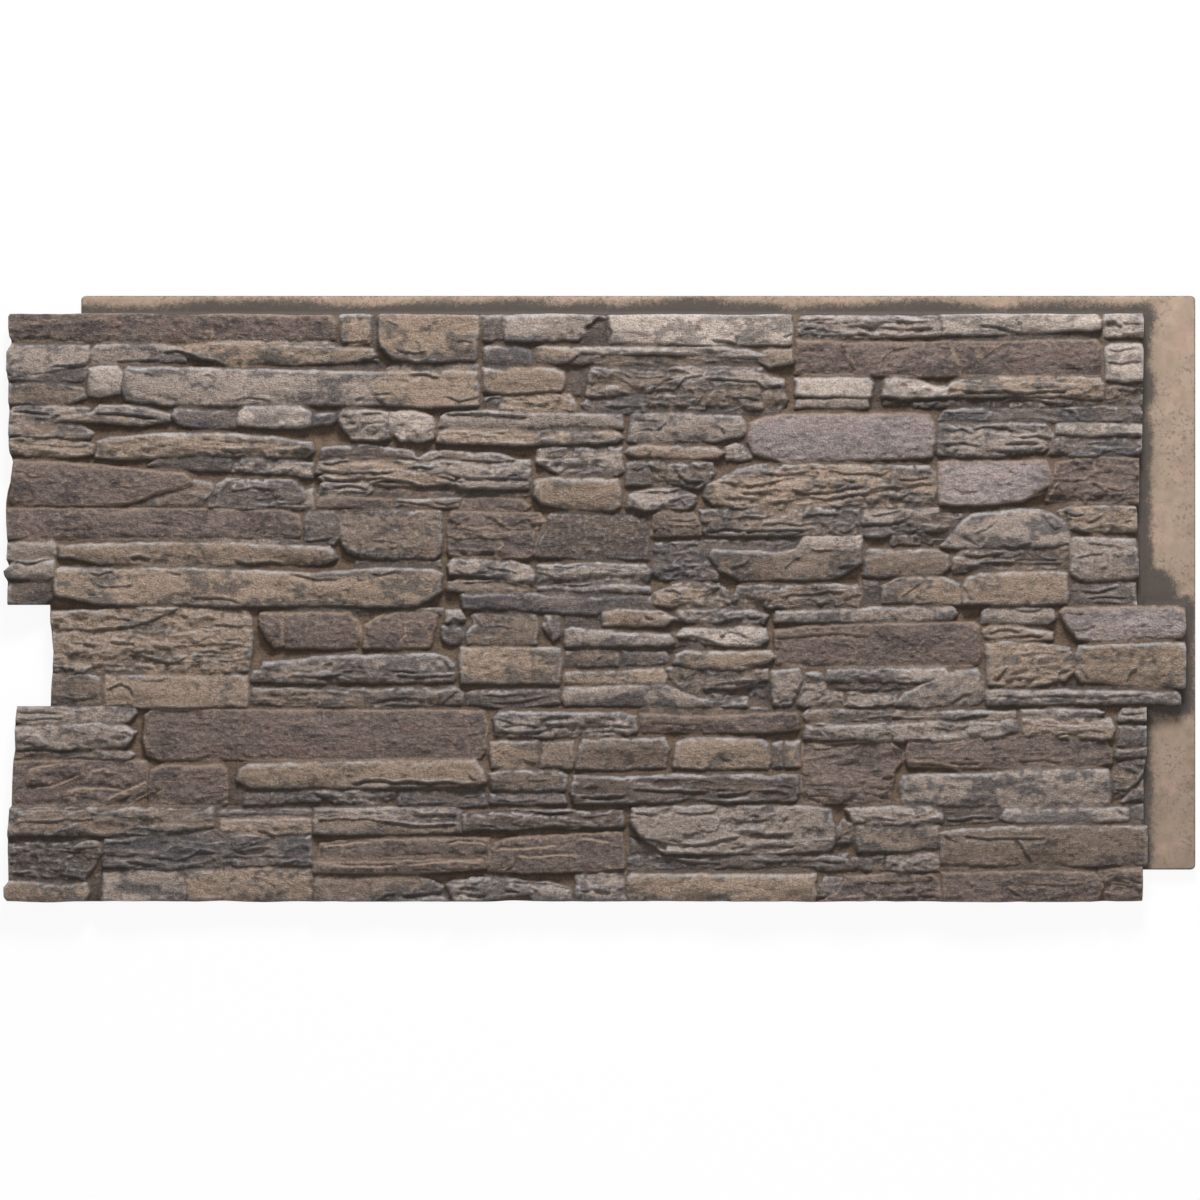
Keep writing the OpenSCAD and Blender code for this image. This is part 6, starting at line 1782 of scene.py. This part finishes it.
def box_distance(x: np.ndarray, y: np.ndarray, right: float, foot: float, head: float) -> np.ndarray:
    """Distance from a box that is open to the left, negative inside it.

    Args:
        x: Positions across, in millimetres of the layout.
        y: Positions along, likewise.
        right: Where the box ends to the right.
        foot: Where it begins.
        head: Where it ends.

    Returns:
        The signed distances, in millimetres.
    """
    across, along = x - right, np.maximum(foot - y, y - head)
    outside = np.hypot(np.maximum(across, 0), np.maximum(along, 0))
    return np.where(outside > 0, outside, np.maximum(across, along))


@dataclass(frozen=True)
class Studio:
    """Plain floor, soft lamps, and a camera that looks straight down at the panel.

    Lengths are in metres, apart from the camera's lens and sensor in millimetres, and the middle of the view
    and the size of the image in pixels.
    """

    lens: float = 230.0
    sensor: float = 36.0
    view_width: float = 1.25125
    centre_x: float = 600.0
    centre_y: float = 599.0
    image: float = 1200.0
    far: float = 100.0
    floor_half: float = 30.0
    floor_drop: float = 0.0005
    floor_shade: float = 0.86
    floor_glow: float = 0.92
    sky: float = 0.36

    def floor(self) -> None:
        """A white floor under the panel, seen as mostly glowing, so that it keeps only a faint shadow."""
        mesh = bpy.data.meshes.new("floor")
        r, low = self.floor_half, -self.floor_drop
        mesh.from_pydata([(-r, -r, low), (r, -r, low), (r, r, low), (-r, r, low)], [], [(0, 1, 2, 3)])
        floor = bpy.data.objects.new("floor", mesh)
        bpy.context.scene.collection.objects.link(floor)
        s = Shader("floor_white")
        s.dress(Base_Color=(*[self.floor_shade] * 3, 1), Roughness=0.9)
        glow = s.node("ShaderNodeEmission", {}, {"Color": (1, 1, 1, 1), "Strength": 1.0})
        path = s.nodes.new("ShaderNodeLightPath")
        seen = Socket(s, path.outputs["Is Camera Ray"]) + Socket(s, path.outputs["Is Glossy Ray"])
        blend = s.node("ShaderNodeMixShader", {}, {0: seen * self.floor_glow})
        mixer = blend.link.node
        s.links.new(s.surface.outputs[0], mixer.inputs[1])
        s.links.new(glow.link, mixer.inputs[2])
        s.links.new(blend.link, s.output.inputs["Surface"])
        mesh.materials.append(s.material)

    def lamp(self, name: str, power: float, size: float, place: tuple) -> None:
        """A square lamp that faces the middle of the panel.

        Args:
            name: Name of the lamp.
            power: Its power, in watts.
            size: Length of its side, in metres.
            place: Where it stands, in metres.
        """
        data = bpy.data.lights.new(name, "AREA")
        data.energy, data.size = power, size
        lamp = bpy.data.objects.new(name, data)
        bpy.context.scene.collection.objects.link(lamp)
        lamp.location = place
        far = math.hypot(place[0], place[1])
        lamp.rotation_euler = (math.atan2(far, place[2]), 0, math.atan2(place[0], -place[1]))

    def build(self) -> None:
        """Sets the floor, the lamps, the world and the camera."""
        self.floor()
        self.lamp("key_lamp", power=210, size=0.9, place=(0.25, 3.3, 2.3))
        self.lamp("fill_lamp", power=26, size=3.0, place=(0.8, -1.4, 3.2))
        world = bpy.data.worlds.new("studio")
        world.use_nodes = True
        shade = world.node_tree.nodes["Background"]
        shade.inputs["Color"].default_value = (1, 1, 1, 1)
        shade.inputs["Strength"].default_value = self.sky
        bpy.context.scene.world = world
        self.camera()
        bpy.context.scene.view_settings.view_transform = "Standard"

    def camera(self) -> None:
        """The camera, straight above the middle of the view and as high as its width asks for."""
        camera = bpy.data.cameras.new("camera")
        camera.lens, camera.sensor_width = self.lens, self.sensor
        holder = bpy.data.objects.new("camera", camera)
        bpy.context.scene.collection.objects.link(holder)
        per_pixel = self.view_width / self.image
        shift_x = -(self.centre_x - self.image / 2) * per_pixel
        shift_y = (self.centre_y - self.image / 2) * per_pixel
        height = self.view_width * self.lens / self.sensor
        holder.location = (shift_x, shift_y, height + PANEL_T * MM)
        camera.clip_end = self.far
        bpy.context.scene.camera = holder


def main() -> None:
    """Builds the panel's face, flange and studio, and reports each piece."""
    logging.basicConfig(level=logging.INFO, format="%(message)s")
    face = StoneFace()
    LOG.info("relief of %d stones on a %d x %d grid", len(face.stones), *face.z.shape)
    stone, flange = StonePaint().material(), FlangePaint().material()
    pieces = [(piece, stone) for piece in StoneBands(face).build()]
    pieces.append((FlangePlate().build(), flange))
    for piece, material in pieces:
        piece.data.materials.append(material)
        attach(piece, "root")
        LOG.info("%s: %d faces", piece.name, len(piece.data.polygons))
    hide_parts("stone_panel")
    Studio().build()


if __name__ == "__main__":
    main()
